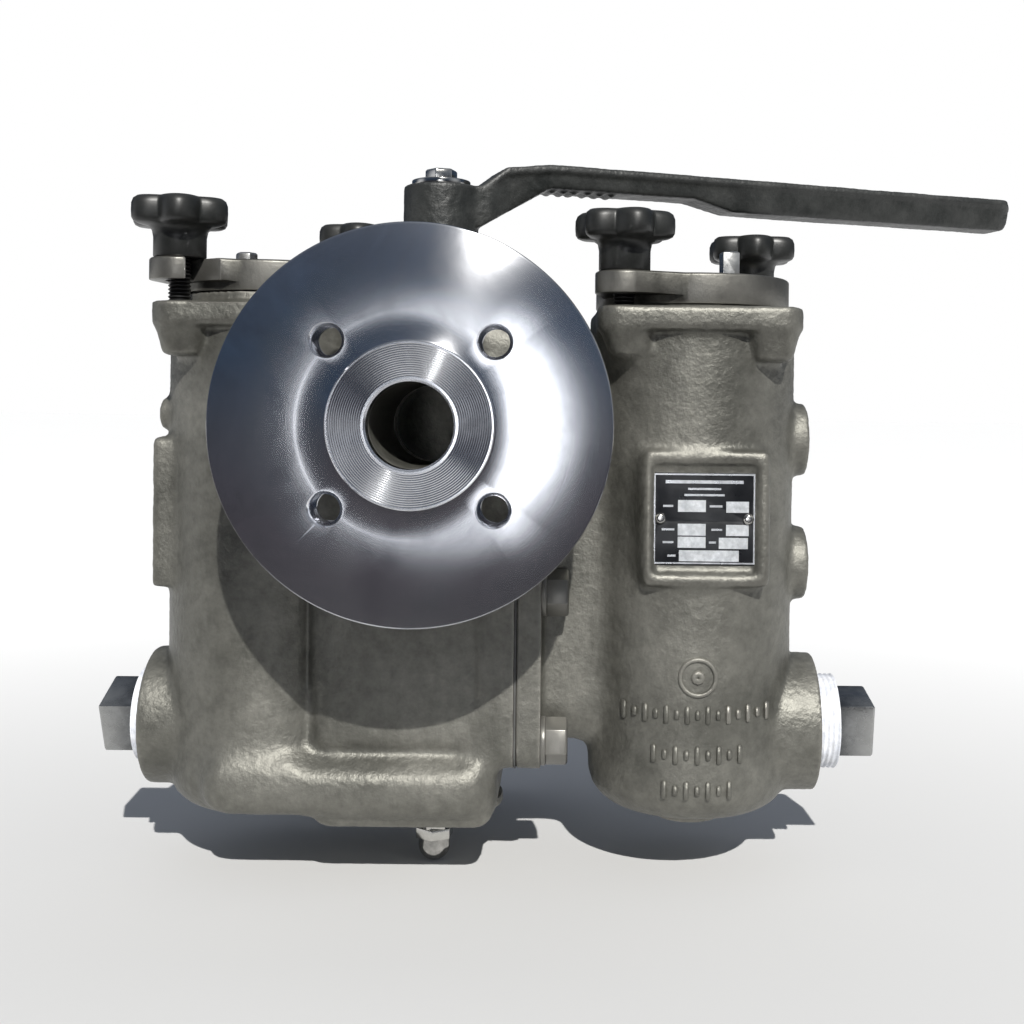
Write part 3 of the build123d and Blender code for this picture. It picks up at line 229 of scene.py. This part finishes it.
PLASTIC = surface("black_plastic", (0.010, 0.011, 0.010), (0.020, 0.021, 0.020), metallic=0.0,
                  rough=(0.34, 0.46), cloud=60.0, grain=700.0, relief=0.00004, edge=(0.02, 0.02, 0.02))
BLACK_STEEL = surface("black_steel", (0.006, 0.006, 0.006), (0.02, 0.02, 0.02), metallic=0.6,
                      rough=(0.35, 0.5), cloud=80.0, grain=700.0, relief=0.00004, edge=(0.08, 0.08, 0.08))
TAPE = surface("white_tape", (0.60, 0.63, 0.70), (0.86, 0.87, 0.90), metallic=0.0,
               rough=(0.45, 0.60), cloud=160.0, grain=700.0, relief=0.00006)
GASKET = surface("gasket_sheet", (0.05, 0.05, 0.048), (0.10, 0.10, 0.095), metallic=0.0,
                 rough=(0.6, 0.8), cloud=60.0, grain=600.0, relief=0.00005)
SEAT = surface("seat_plastic", (0.62, 0.61, 0.58), (0.78, 0.77, 0.74), metallic=0.0,
               rough=(0.4, 0.55), cloud=60.0, grain=600.0, relief=0.00003)
RUBBER = surface("black_rubber", (0.012, 0.012, 0.012), (0.022, 0.022, 0.022), metallic=0.0,
                 rough=(0.5, 0.7), cloud=60.0, grain=600.0, relief=0.00003)
PLATE_BLACK = surface("plate_black", (0.006, 0.007, 0.009), (0.014, 0.015, 0.018), metallic=0.3,
                      rough=(0.24, 0.42), cloud=90.0, grain=800.0, relief=0.00002)
PLATE_SILVER = surface("plate_silver", (0.36, 0.37, 0.38), (0.60, 0.61, 0.63), metallic=0.9,
                       rough=(0.22, 0.40), cloud=200.0, grain=900.0, relief=0.00002)
PLATE_FIELD = surface("plate_field", (0.42, 0.44, 0.46), (0.68, 0.70, 0.72), metallic=0.5,
                      rough=(0.30, 0.50), cloud=260.0, grain=900.0, relief=0.00002)
FLANGE = turned_metal("flange_metal", (0, 0, 0), Y_AXIS, (0.42, 0.43, 0.46), (0.74, 0.75, 0.78),
                      (0.10, 0.20))
FLANGE_REAR = turned_metal("flange_metal_rear", (0, 0.22, -0.104), Y_AXIS, (0.42, 0.43, 0.46),
                           (0.74, 0.75, 0.78), (0.10, 0.20))
BALL_METAL = turned_metal("ball_metal", (0, 0.11, 0), Z_AXIS, (0.45, 0.46, 0.48), (0.62, 0.63, 0.65),
                          (0.08, 0.16))

MATERIAL_OF_SLOT = {
    "cast_stainless": CAST, "machined_stainless": PLUG, "bright_fastener": FASTENER, "black_iron": IRON,
    "black_steel": BLACK_STEEL, "black_plastic": PLASTIC, "white_tape": TAPE, "seat_plastic": SEAT,
    "gasket_sheet": GASKET, "black_rubber": RUBBER, "plate_metal": PLATE_BLACK,
}


# ------------------------------------------------------------------ mesh helpers


def place(name, mesh, node, mat, also=()):
    """A finished mesh becomes a piece that rides with node's body and stands for the nodes in also."""
    obj = bpy.data.objects.new(name, mesh)
    SCENE.collection.objects.link(obj)
    mesh.materials.clear()
    mesh.materials.append(mat)
    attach(obj, BODY_OF[node])
    for stood_for in also:
        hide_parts(stood_for)
    return obj


def shade(mesh, angle=35.0):
    mesh.polygons.foreach_set("use_smooth", [True] * len(mesh.polygons))
    mesh.set_sharp_from_angle(angle=math.radians(angle))
    mesh.update()


def welded(node):
    """A bmesh of a CAD node with its split vertices joined."""
    bm = bmesh.new()
    bm.from_mesh(nodes[node].data)
    bmesh.ops.remove_doubles(bm, verts=bm.verts, dist=2e-6)
    return bm


def to_mesh(bm, name):
    mesh = bpy.data.meshes.new(name)
    bm.to_mesh(mesh)
    bm.free()
    return mesh


def broken_edges(node, width):
    """A mesh of a CAD node with its sharp edges rounded."""
    bm = welded(node)
    bmesh.ops.dissolve_limit(bm, angle_limit=math.radians(0.6), verts=bm.verts, edges=bm.edges)
    limit = math.radians(SHARP_ANGLE)
    sharp = [e for e in bm.edges if len(e.link_faces) == 2 and e.calc_face_angle(0) > limit]
    bmesh.ops.bevel(bm, geom=sharp, offset=width * MM, segments=2, profile=0.5, affect="EDGES",
                    clamp_overlap=True)
    mesh = to_mesh(bm, node + "_look")
    shade(mesh, 40.0)
    return mesh


def refine(node, width, mat=None):
    """A CAD node's stand-in, the same but for its rounded edges."""
    mesh = broken_edges(node, width)
    place(node + "_look", mesh, node, mat or MATERIAL_OF_SLOT[SLOT_OF[node]], (node,))


def lathe(bm, profile, count, frame_matrix):
    """Adds a closed body turned from profile, a list of (radius, height) in mm, about frame_matrix's Z."""
    rings = []
    for step in range(count):
        angle = 2 * math.pi * step / count
        ring = []
        for r, h in profile:
            point = Vector((r * MM * math.cos(angle), r * MM * math.sin(angle), h * MM))
            ring.append(bm.verts.new(frame_matrix @ point))
        rings.append(ring)
    size = len(profile)
    for step in range(count):
        here, after = rings[step], rings[(step + 1) % count]
        for i in range(size):
            j = (i + 1) % size
            bm.faces.new((here[i], after[i], after[j], here[j]))


def matrix_at(origin, z_axis):
    """A matrix whose Z points along z_axis at origin in mm."""
    turn = Vector(z_axis).to_track_quat("Z", "Y").to_matrix().to_4x4()
    return Matrix.Translation(Vector(origin) * MM) @ turn


def evaluated(obj):
    """The mesh of obj with its modifiers, and obj removed."""
    bpy.context.view_layer.update()
    graph = bpy.context.evaluated_depsgraph_get()
    mesh = bpy.data.meshes.new_from_object(obj.evaluated_get(graph))
    bpy.data.objects.remove(obj)
    return mesh


def temporary(mesh):
    obj = bpy.data.objects.new("temporary", mesh)
    SCENE.collection.objects.link(obj)
    return obj


def cut(mesh, cutters):
    """mesh with the cutter meshes taken away."""
    base = temporary(mesh)
    tools = []
    for cutter in cutters:
        tool = temporary(cutter)
        modifier = base.modifiers.new("cut", "BOOLEAN")
        modifier.operation = "DIFFERENCE"
        modifier.object = tool
        modifier.solver = "EXACT"
        tools.append(tool)
    result = evaluated(base)
    for tool in tools:
        bpy.data.objects.remove(tool)
    return result


# ------------------------------------------------------------------ castings


def clouds_texture(name, size, depth=3):
    texture = bpy.data.textures.new(name, "CLOUDS")
    texture.noise_scale = size * MM
    texture.noise_depth = depth
    texture.noise_basis = "ORIGINAL_PERLIN"
    return texture


SAND = clouds_texture("sand", 2.2, 4)
WAVES = clouds_texture("waves", 24.0, 2)


def inside(points, low, high):
    return np.all((points >= np.array(low) * MM) & (points <= np.array(high) * MM), axis=1)


def add_box(bm, low, high):
    matrix = Matrix.Translation((Vector(low) + Vector(high)) * 0.5 * MM)
    size = (Vector(high) - Vector(low)) * MM
    bmesh.ops.create_cube(bm, size=1.0, matrix=matrix @ Matrix.Diagonal((*size, 1.0)))


def read_points(mesh):
    """The mesh's vertices as rows of x, y, z in metres."""
    points = np.empty(len(mesh.vertices) * 3, np.float32)
    mesh.vertices.foreach_get("co", points)
    return points.reshape(-1, 3).astype(float)


def write_points(mesh, points):
    mesh.vertices.foreach_set("co", points.astype(np.float32).ravel())


def cast_copy(node, soft_zones, crisp, voxel=1.15, rounds=9, extras=None, press=None):
    """A casting's mesh with melted corners and a sandy skin.

    soft_zones are boxes smoothed hard, crisp(points) marks machined places, extras(bm) adds shapes before
    the remesh, and press(points) moves points before the last smoothing.
    """
    bm = welded(node)
    if extras:
        extras(bm)
    obj = temporary(to_mesh(bm, node + "_raw"))
    remesh = obj.modifiers.new("remesh", "REMESH")
    remesh.mode = "VOXEL"
    remesh.voxel_size = voxel * MM
    mesh = evaluated(obj)
    count = len(mesh.vertices)
    points = read_points(mesh)
    edges = np.empty(len(mesh.edges) * 2, np.int32)
    mesh.edges.foreach_get("vertices", edges)
    edges = edges.reshape(-1, 2)
    degree = np.bincount(edges.ravel(), minlength=count).astype(float)[:, None]
    free = np.where(crisp(points), 0.0, 1.0)[:, None]
    heavy = np.zeros(count, bool)
    for low, high in soft_zones:
        heavy |= inside(points, low, high)
    heavy_weight = heavy.astype(float)[:, None]

    def smooth(weights):
        total = np.zeros_like(points)
        for axis in range(3):
            total[:, axis] = (np.bincount(edges[:, 0], points[edges[:, 1], axis], count)
                              + np.bincount(edges[:, 1], points[edges[:, 0], axis], count))
        return points + (total / degree - points) * weights

    for _ in range(70):
        points = smooth(0.55 * free * heavy_weight)
    if press:
        press(points)
    for _ in range(rounds):
        points = smooth(0.5 * free)
    write_points(mesh, points)
    obj = temporary(mesh)
    group = obj.vertex_groups.new(name="cast")
    group.add([int(i) for i in np.nonzero(free[:, 0])[0]], 1.0, "REPLACE")
    for texture, strength in ((WAVES, 0.7), (SAND, 0.55)):
        displace = obj.modifiers.new("skin", "DISPLACE")
        displace.texture = texture
        displace.texture_coords = "LOCAL"
        displace.strength = strength * MM
        displace.mid_level = 0.5
        displace.vertex_group = "cast"
    mesh = evaluated(obj)
    shade(mesh, 60.0)
    return mesh


def near(points, axis, value, tolerance=0.7):
    return np.abs(points[:, axis] / MM - value) < tolerance


def radial(points, x):
    return np.hypot(points[:, 0] / MM - x, points[:, 1] / MM - VALVE_Y)


def left_crisp(points):
    seat = (points[:, 2] > 50.4 * MM) & (radial(points, POT_X["left"]) < 43.6)
    joint = near(points, X_AXIS, 37.3) | near(points, X_AXIS, -127.5)
    bore = radial(points, POT_X["left"]) < 38.6
    valve = (radial(points, 0.0) < 31.5) & (points[:, 2] < 52 * MM)
    line = np.hypot(points[:, 0] / MM, points[:, 2] / MM) < 24.6
    rear = np.hypot(points[:, 0] / MM, points[:, 2] / MM - LOWER_Z) < 24.6
    return seat | joint | bore | valve | line | rear | near(points, Z_AXIS, 50.0, 0.4)


def right_crisp(points):
    seat = (points[:, 2] > 50.4 * MM) & (radial(points, POT_X["right"]) < 43.6)
    joint = near(points, X_AXIS, 38.1) | near(points, X_AXIS, 171.0) | near(points, X_AXIS, 48.6, 0.4)
    bore = radial(points, POT_X["right"]) < 38.6
    return seat | joint | bore


def bell(values, middle, width):
    return np.exp(-((values - middle) / width) ** 2)


def share(values):
    return np.clip(values, 0.0, 1.0)


def press_grooves(points):
    """Presses two hollows into the housing's front: across, above the foot's roll, and down by the pot."""
    x, y, z = points.T / MM
    front = share((84.0 - y) / 8.0)
    across = bell(z, -141.5, 5.0) * share((x + 56.0) / 8.0) * share((24.0 - x) / 12.0)
    down = bell(x, -50.0, 4.0) * share((z + 142.0) / 10.0) * share((20.0 - z) / 30.0)
    points[:, 1] += front * (4.6 * across + 3.4 * down) * MM


left_mesh = cast_copy("left_casting", [((-100, 55, -168), (32, 74, -112))], left_crisp, press=press_grooves)
place("left_casting_look", left_mesh, "left_casting", CAST, ("left_casting",))
right_mesh = cast_copy("right_casting", [((56, 60, -150), (92, 160, 38))], right_crisp)
place("right_casting_look", right_mesh, "right_casting", CAST, ("right_casting",))


# ------------------------------------------------------------------ line flanges


BOLT_CIRCLE_R = 44.45
BOLT_PITCH = 1.95


def flange_mesh(name, centre, outward):
    """Turned flange with serrated raised face and four threaded holes."""
    pitch = 0.84
    profile = [(16.5, -0.8), (17.3, 0.0), (18.2, 0.0)]
    radius = 18.2
    while radius < 30.6:
        profile += [(radius + 0.5 * pitch, -0.28), (radius + pitch, 0.0)]
        radius += pitch
    profile += [(31.3, 0.0), (31.75, -0.45), (31.75, -1.7), (32.4, -2.0), (43.0, -1.62), (44.0, -1.6),
                (75.2, -1.6), (75.9, -1.9), (76.2, -2.6), (76.2, -16.6), (75.9, -17.3), (75.2, -17.6),
                (24.0, -17.6), (24.0, -7.6), (17.0, -7.6), (16.5, -7.6)]
    bm = bmesh.new()
    lathe(bm, profile, 224, matrix_at(centre, (0, outward, 0)))
    bmesh.ops.recalc_face_normals(bm, faces=bm.faces)
    flange = to_mesh(bm, name)
    cutters = []
    for quarter in range(4):
        angle = math.radians(45 + 90 * quarter)
        offset = Vector((BOLT_CIRCLE_R * math.cos(angle), 0, BOLT_CIRCLE_R * math.sin(angle)))
        bm = bmesh.new()
        thread = [(0.001, 2.0), (8.4, 2.0), (6.9, -1.6), (6.3, -2.2)]
        depth = -2.2
        while depth > -17.0:
            thread += [(5.55, depth - 0.98), (6.3, depth - BOLT_PITCH)]
            depth -= BOLT_PITCH
        thread += [(6.3, -21.0), (0.001, -21.0)]
        lathe(bm, thread, 40, matrix_at(Vector(centre) + offset, (0, outward, 0)))
        bmesh.ops.recalc_face_normals(bm, faces=bm.faces)
        cutters.append(to_mesh(bm, "thread"))
    flange = cut(flange, cutters)
    shade(flange, 30.0)
    return flange


place("inlet_flange_look", flange_mesh("inlet", (0, -1.6, 0), -1), "inlet_flange", FLANGE, ("inlet_flange",))
place("outlet_flange_look", flange_mesh("outlet", (0, 221.6, LOWER_Z), 1), "outlet_flange", FLANGE_REAR,
      ("outlet_flange",))


# ------------------------------------------------------------------ knobs and studs


def knob_mesh(name, centre, bottom_z, turn):
    """Six-lobed knob: rounded lobes, a dished top with a cap, and a hub that tapers down to the stud."""
    around = 180
    socket_deep = 17.5 * MM
    outline = []
    for step in range(around):
        angle = 2 * math.pi * step / around
        lobe = 0.5 + 0.5 * math.cos(6 * (angle - math.radians(turn)))
        outline.append((angle, lobe))
    # each row is (radius, height above the hub's foot, how far the lobes show)
    rows = [
        (4.85, 0.0, 0.0), (10.6, 0.0, 0.0), (11.0, 0.5, 0.0), (11.0, 8.5, 0.0), (11.6, 11.5, 0.0),
        (13.0, 13.0, 0.25), (16.4, 13.5, 0.8), (17.5, 14.2, 0.95), (18.2, 15.6, 1.0), (18.4, 18.5, 1.0),
        (18.3, 21.6, 1.0), (17.6, 23.6, 0.97), (16.4, 24.7, 0.85), (13.5, 25.0, 0.4), (11.5, 24.6, 0.12),
        (9.6, 23.4, 0.0), (9.0, 23.1, 0.0), (8.6, 23.5, 0.0), (8.0, 24.2, 0.0), (5.0, 24.7, 0.0),
        (0.01, 24.9, 0.0),
    ]
    bm = bmesh.new()
    rings = []
    for radius, height, flute in rows:
        ring = []
        for angle, lobe in outline:
            shape = lobe ** 0.62
            r = radius + flute * (shape * 4.9 - 1.6)
            point = (centre[0] + r * math.cos(angle), centre[1] + r * math.sin(angle), bottom_z + height)
            ring.append(bm.verts.new(Vector(point) * MM))
        rings.append(ring)
    for lower, upper in zip(rings, rings[1:]):
        for i in range(around):
            j = (i + 1) % around
            bm.faces.new((lower[i], lower[j], upper[j], upper[i]))
    bm.faces.new(rings[-1])
    socket = [bm.verts.new(v.co + Vector((0, 0, socket_deep))) for v in rings[0]]
    for i in range(around):
        j = (i + 1) % around
        bm.faces.new((rings[0][j], rings[0][i], socket[i], socket[j]))
    bm.faces.new(list(reversed(socket)))
    bmesh.ops.recalc_face_normals(bm, faces=bm.faces)
    mesh = to_mesh(bm, name)
    shade(mesh, 50.0)
    return mesh


def solid_stud(name, centre, low, high):
    """Rod with ring grooves at the thread's pitch, closed at both ends."""
    pitch, outer, root = 1.5875, 4.74, 3.95
    profile = [(0.001, low), (root, low), (root, low + 0.3)]
    height = low + 0.3
    while height + pitch < high - 0.3:
        profile += [(outer, height + 0.45 * pitch), (outer, height + 0.6 * pitch), (root, height + pitch)]
        height += pitch
    profile += [(root, high), (0.001, high)]
    bm = bmesh.new()
    lathe(bm, profile, 36, matrix_at((centre[0], centre[1], 0), (0, 0, 1)))
    bmesh.ops.remove_doubles(bm, verts=bm.verts, dist=1e-7)
    bmesh.ops.recalc_face_normals(bm, faces=bm.faces)
    mesh = to_mesh(bm, name)
    shade(mesh, 25.0)
    return mesh


for side in ("left", "right"):
    for spot, sign, turn in (("front", -1, -15.0), ("rear", 1, 30.0)):
        knob = f"{side}_{spot}_knob"
        stud = f"{side}_{spot}_stud"
        low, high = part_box(knob)
        centre = (POT_X[side] + sign * STUD_OFF_X, VALVE_Y + sign * STUD_OFF_Y)
        place(knob + "_look", knob_mesh(knob, centre, low.z / MM, turn), knob, PLASTIC, (knob,))
        low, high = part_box(stud)
        place(stud + "_look", solid_stud(stud, centre, low.z / MM, high.z / MM), stud, BLACK_STEEL, (stud,))


# ------------------------------------------------------------------ covers, fasteners, plugs

for node in ("left_cover", "right_cover"):
    refine(node, 0.6, COVER)
for node in ("left_vent_plug", "right_vent_plug", "left_drain_plug", "right_drain_plug", "stem",
             "packing_gland", "lower_trunnion", "link_shaft"):
    refine(node, 0.5)
for node in ("acorn_nut", "jam_nut", "bonnet_screws", "lever_washer", "lever_bolt", "adjusting_screw"):
    refine(node, 0.35)
for node in ("flange_bolts", "flange_washers"):
    refine(node, 0.35, DULL_FASTENER)
for node in ("bonnet", "bottom_plug"):
    refine(node, 1.2, CAST)


PIPE_PITCH = 2.2087


def tape_mesh(name, low, high, outward):
    """Wound sealing tape: uneven ridges over the thread's crests."""
    inner, outer = (low, high) if outward > 0 else (high, low)
    start = inner / MM
    end = outer / MM
    rng = np.random.default_rng(7)
    profile = [(20.36, start)]
    steps = int(abs(end - start) / PIPE_PITCH * 6)
    for i in range(steps + 1):
        x = start + (end - start) * (i / steps)
        wave = math.cos(2 * math.pi * abs(x - start) / PIPE_PITCH)
        profile.append((20.72 + 0.30 * wave + 0.06 * float(rng.uniform(-1, 1)), x))
    profile += [(20.36, end)]
    bm = bmesh.new()
    lathe(bm, profile, 96, matrix_at((0, VALVE_Y, DRAIN_Z), (1, 0, 0)))
    bmesh.ops.recalc_face_normals(bm, faces=bm.faces)
    mesh = to_mesh(bm, name)
    shade(mesh, 60.0)
    return mesh


for side, outward in (("left", -1), ("right", 1)):
    node = f"{side}_drain_tape"
    low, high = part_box(node)
    place(node + "_look", tape_mesh(node, low.x, high.x, outward), node, TAPE, (node,))


# ------------------------------------------------------------------ lever


TIP_ROUND_FROM = 303.0
GRIP_MIDDLE_Z = 112.0
LEVER_CEILING_Z = 119.9


def lever_crisp(points):
    return (radial(points, 0.0) < 14.4) & (points[:, 2] > 107.0 * MM)


def lever_ribs(bm):
    """Small cast ribs under the lever's web."""
    turn = Matrix.Translation((0, VALVE_Y * MM, 0)) @ Matrix.Rotation(LEVER_ANGLE, 4, "Z")
    for reach in (52, 58, 63, 70, 76, 82):
        matrix = turn @ Matrix.Translation(Vector((reach, 0, 108.9)) * MM)
        size = Matrix.Diagonal((2.6 * MM, 15.0 * MM, 3.4 * MM, 1.0))
        bmesh.ops.create_cube(bm, size=1.0, matrix=matrix @ size)


def draw_in(mesh):
    """Narrows the lever below its ground top strip, as its casting draft does, and rounds its tip."""
    points = read_points(mesh) / MM
    cosine, sine = math.cos(LEVER_ANGLE), math.sin(LEVER_ANGLE)
    along = points[:, 0] * cosine + (points[:, 1] - VALVE_Y) * sine
    across = (points[:, 1] - VALVE_Y) * cosine - points[:, 0] * sine
    top = np.interp(along, [16.0, 28.0, 50.0], [107.6, 117.0, 120.0])
    depth = share((top - 3.2 - points[:, 2]) / 1.6) * 0.12
    depth += share((top - 4.8 - points[:, 2]) / 12.0) * 0.22
    shift = -across * depth * share((along - 20.0) / 10.0)
    points[:, 0] -= shift * sine
    points[:, 1] += shift * cosine
    tip = np.clip((along - TIP_ROUND_FROM) / 8.0, 0.0, 0.99)
    points[:, 2] = GRIP_MIDDLE_Z + (points[:, 2] - GRIP_MIDDLE_Z) * np.sqrt(1.0 - tip ** 2)
    points[:, 2] = np.minimum(points[:, 2], LEVER_CEILING_Z)
    write_points(mesh, points * MM)
    mesh.update()
    return mesh


lever_mesh = draw_in(cast_copy("lever", [], lever_crisp, voxel=0.9, rounds=6, extras=lever_ribs))
place("lever_look", lever_mesh, "lever", IRON, ("lever",))


# ------------------------------------------------------------------ nameplate and cast marks


def plaque(name, boxes, front, mat, depth=0.25, bevel=0.12):
    """Thin raised panels on the nameplate, from (x0, x1, z0, z1) about the plate's centre."""
    bm = bmesh.new()
    for x0, x1, z0, z1 in boxes:
        add_box(bm, (PLATE_X + x0, front - depth, PLATE_Z + z0), (PLATE_X + x1, front, PLATE_Z + z1))
    bmesh.ops.bevel(bm, geom=bm.edges[:], offset=bevel * MM, segments=1, affect="EDGES", clamp_overlap=True)
    return place(name, to_mesh(bm, name), "nameplate", mat)


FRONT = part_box("nameplate")[0].y / MM
refine("nameplate", 0.15, PLATE_BLACK)
plaque("plate_border", [(-21.4, 21.4, 18.4, 19.1), (-21.4, 21.4, -19.1, -18.4), (-21.4, -20.7, -18.4, 18.4),
                        (20.7, 21.4, -18.4, 18.4)], FRONT, PLATE_SILVER, 0.12, 0.04)
plaque("plate_fields", [(-11.2, 0.6, 2.9, 7.9), (-11.2, 0.6, -7.1, -2.1), (-11.2, 0.6, -12.3, -7.6),
                        (9.2, 18.8, 2.7, 7.4), (9.2, 18.8, -7.1, -2.4), (6.2, 18.5, -12.6, -7.9),
                        (-10.6, 14.7, -18.0, -13.3)], FRONT, PLATE_FIELD, 0.10, 0.03)
plaque("plate_bars", [(-16.5, 16.5, 14.9, 16.3), (-7.0, 7.0, 12.2, 13.1), (-8.5, 8.5, 9.6, 10.5),
                      (-17.5, -13.2, 4.9, 5.8), (2.2, 7.6, 4.9, 5.8), (-18.0, -12.6, -5.0, -4.1),
                      (3.0, 7.6, -5.0, -4.1), (-17.5, -13.0, -10.4, -9.5), (2.0, 5.0, -10.4, -9.5),
                      (-15.5, -12.0, -16.1, -15.2)], FRONT, PLATE_SILVER, 0.08, 0.03)
refine("nameplate_screws", 0.3)


def pot_front(x, lift):
    """Y of the right pot's front skin at x, lifted towards the front, in mm."""
    reach = 45.9 + lift
    return VALVE_Y - math.sqrt(max(reach * reach - (x - POT_X["right"]) ** 2, 1.0))


MARK_RING_Z = -106.0
MARK_LIFT = 0.8
BEAD = ((-1.0, -0.6), (-0.9, 0.35), (-0.55, 0.85), (0.0, 1.0), (0.55, 0.85), (0.9, 0.35), (1.0, -0.6))


def bead(bm, path, width, lift, closed=False):
    """A rounded raised line on the right pot's front, along path, a list of (x, z) in mm."""
    rows = []
    last = len(path) - 1
    for i, (x, z) in enumerate(path):
        before = path[i - 1] if i or closed else path[i]
        after = path[(i + 1) % len(path)] if i < last or closed else path[i]
        along = Vector((after[0] - before[0], after[1] - before[1])).normalized()
        end = not closed and i in (0, last)
        half, high = (0.45 * width, -0.5 * lift) if end else (width, lift)
        row = []
        for offset, height in BEAD:
            px = x - along.y * offset * half
            pz = z + along.x * offset * half
            reach = high if end else high * height
            row.append(bm.verts.new(Vector((px, pot_front(px, reach), pz)) * MM))
        rows.append(row)
    pairs = list(zip(rows, rows[1:])) + ([(rows[-1], rows[0])] if closed else [])
    for here, there in pairs:
        for k in range(len(BEAD) - 1):
            bm.faces.new((here[k], there[k], there[k + 1], here[k + 1]))


def marks_mesh():
    """Generic cast relief in place of pattern marks: a ring with a dot, and rows of plain ribs."""
    bm = bmesh.new()
    centre = POT_X["right"]
    for radius, step, width in ((7.6, 15, 1.0), (1.6, 45, 1.5)):
        angles = [math.radians(a) for a in range(0, 360, step)]
        circle = [(centre + radius * math.cos(a), MARK_RING_Z + radius * math.sin(a)) for a in angles]
        bead(bm, circle, width, MARK_LIFT, True)
    for row_z, half, count in ((-122.0, 31.0, 15), (-139.0, 18.5, 9), (-154.0, 14.0, 7)):
        for i in range(count):
            x = centre - half + 2 * half * i / (count - 1)
            tall = 4.0 if i % 2 == 0 else 2.2
            heights = (-tall, -tall + 0.8, 0.0, tall - 0.8, tall)
            bead(bm, [(x, row_z + height) for height in heights], 1.15, MARK_LIFT)
    bmesh.ops.recalc_face_normals(bm, faces=bm.faces)
    mesh = to_mesh(bm, "cast_marks")
    shade(mesh, 60.0)
    return mesh


place("cast_marks", marks_mesh(), "right_casting", CAST)

# ------------------------------------------------------------------ CAD pieces that stay

for node, obj in nodes.items():
    if not obj.hide_render:
        obj.data.materials.clear()
        obj.data.materials.append(BALL_METAL if "ball" in node and "seats" not in node
                                  else MATERIAL_OF_SLOT[SLOT_OF[node]])
        obj.data.polygons.foreach_set("use_smooth", [True] * len(obj.data.polygons))

# ------------------------------------------------------------------ floor, light, camera


FLOOR_FRONT = -0.13


def floor():
    """Pale ground that ends short of the camera, so the flange reflects the dark studio."""
    bm = bmesh.new()
    corners = ((-20, FLOOR_FRONT), (20, FLOOR_FRONT), (20, 30), (-20, 30))
    bm.faces.new([bm.verts.new((x, y, cad_low.z)) for x, y in corners])
    obj = bpy.data.objects.new("floor", to_mesh(bm, "floor"))
    SCENE.collection.objects.link(obj)
    mat, shader, add, link = new_material("floor")
    coords = add("ShaderNodeTexCoord").outputs["Object"]
    far = add("ShaderNodeVectorMath", {0: coords}, operation="LENGTH").outputs["Value"]
    far = mix(add, "MIX", 0.06, remap(add, far, 0.0, 1.0, 0.15, 0.8), noise(add, coords, 3.0))
    link(ramp(add, far, ((0.0, (0.62, 0.62, 0.62)), (1.0, (0.97, 0.97, 0.97)))), shader.inputs["Base Color"])
    shader.inputs["Roughness"].default_value = 0.9
    obj.data.materials.append(mat)
    obj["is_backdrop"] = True


def world():
    """White to the camera; to the object a dark front with one bright patch, and a paler sky above."""
    SCENE.world = bpy.data.worlds.new("studio")
    SCENE.world.use_nodes = True
    tree = SCENE.world.node_tree
    add = node_adder(tree)
    coords = add("ShaderNodeTexCoord").outputs["Generated"]

    def patch(direction, spread, colour, under):
        """Adds a soft round patch of light about direction to the colour under."""
        middle = Vector(direction).normalized()
        away = add("ShaderNodeVectorMath", {0: coords, 1: middle}, operation="SUBTRACT").outputs["Vector"]
        far = add("ShaderNodeVectorMath", {0: away}, operation="LENGTH").outputs["Value"]
        fall = add("ShaderNodeMapRange", {"Value": far, "From Min": 0.0, "From Max": spread, "To Min": 1.0,
                                          "To Max": 0.0}, interpolation_type="SMOOTHSTEP")
        return mix(add, "ADD", fall.outputs["Result"], under, colour)

    height = add("ShaderNodeSeparateXYZ", {0: coords}).outputs["Z"]
    sky = ramp(add, remap(add, height, 0.0, 1.0, -1.0, 1.0),
               ((0.0, (0.08, 0.08, 0.08)), (0.38, (0.06, 0.055, 0.065)), (0.48, (0.055, 0.06, 0.075)),
                (0.58, (0.035, 0.055, 0.09)), (0.72, (0.07, 0.09, 0.13)), (1.0, (0.30, 0.32, 0.35))))
    light = patch((0.05, -1.0, -0.005), 0.26, (2.2, 2.25, 2.35), sky)
    light = patch((-0.012, -1.0, -0.004), 0.10, (10.0, 10.0, 10.0), light)
    light = patch((0.9, -0.5, 0.25), 0.6, (0.45, 0.45, 0.45), light)
    light = patch((-1.0, -0.1, 0.1), 0.5, (0.8, 0.8, 0.82), light)
    seen = add("ShaderNodeLightPath").outputs["Is Camera Ray"]
    colour = mix(add, "MIX", seen, light, (1.0, 1.0, 1.0))
    tree.links.new(colour, tree.nodes["Background"].inputs["Color"])


def sun():
    light = bpy.data.lights.new("key", "SUN")
    light.energy = 4.6
    light.angle = math.radians(0.8)
    light.color = (1.0, 0.98, 0.94)
    obj = bpy.data.objects.new("key", light)
    obj.rotation_euler = Vector((-0.20, 1.0, -0.81)).to_track_quat("-Z", "Y").to_euler()
    SCENE.collection.objects.link(obj)


def camera():
    data = bpy.data.cameras.new("camera")
    data.sensor_width = 36.0
    data.lens = 1300.0 / 1024.0 * 36.0
    data.shift_x = (512.0 - 567.0) / 1024.0
    data.shift_y = (410.0 - 512.0) / 1024.0
    data.clip_start = 0.01
    data.clip_end = 100.0
    obj = bpy.data.objects.new("camera", data)
    obj.matrix_world = (Matrix.Translation((0.0585, -0.484, 0.0064)) @ Matrix.Rotation(math.pi / 2, 4, "X")
                        @ Matrix.Rotation(0.0105, 4, "Z"))
    SCENE.collection.objects.link(obj)
    SCENE.camera = obj


floor()
world()
sun()
camera()
SCENE.view_settings.view_transform = "Standard"

low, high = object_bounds()
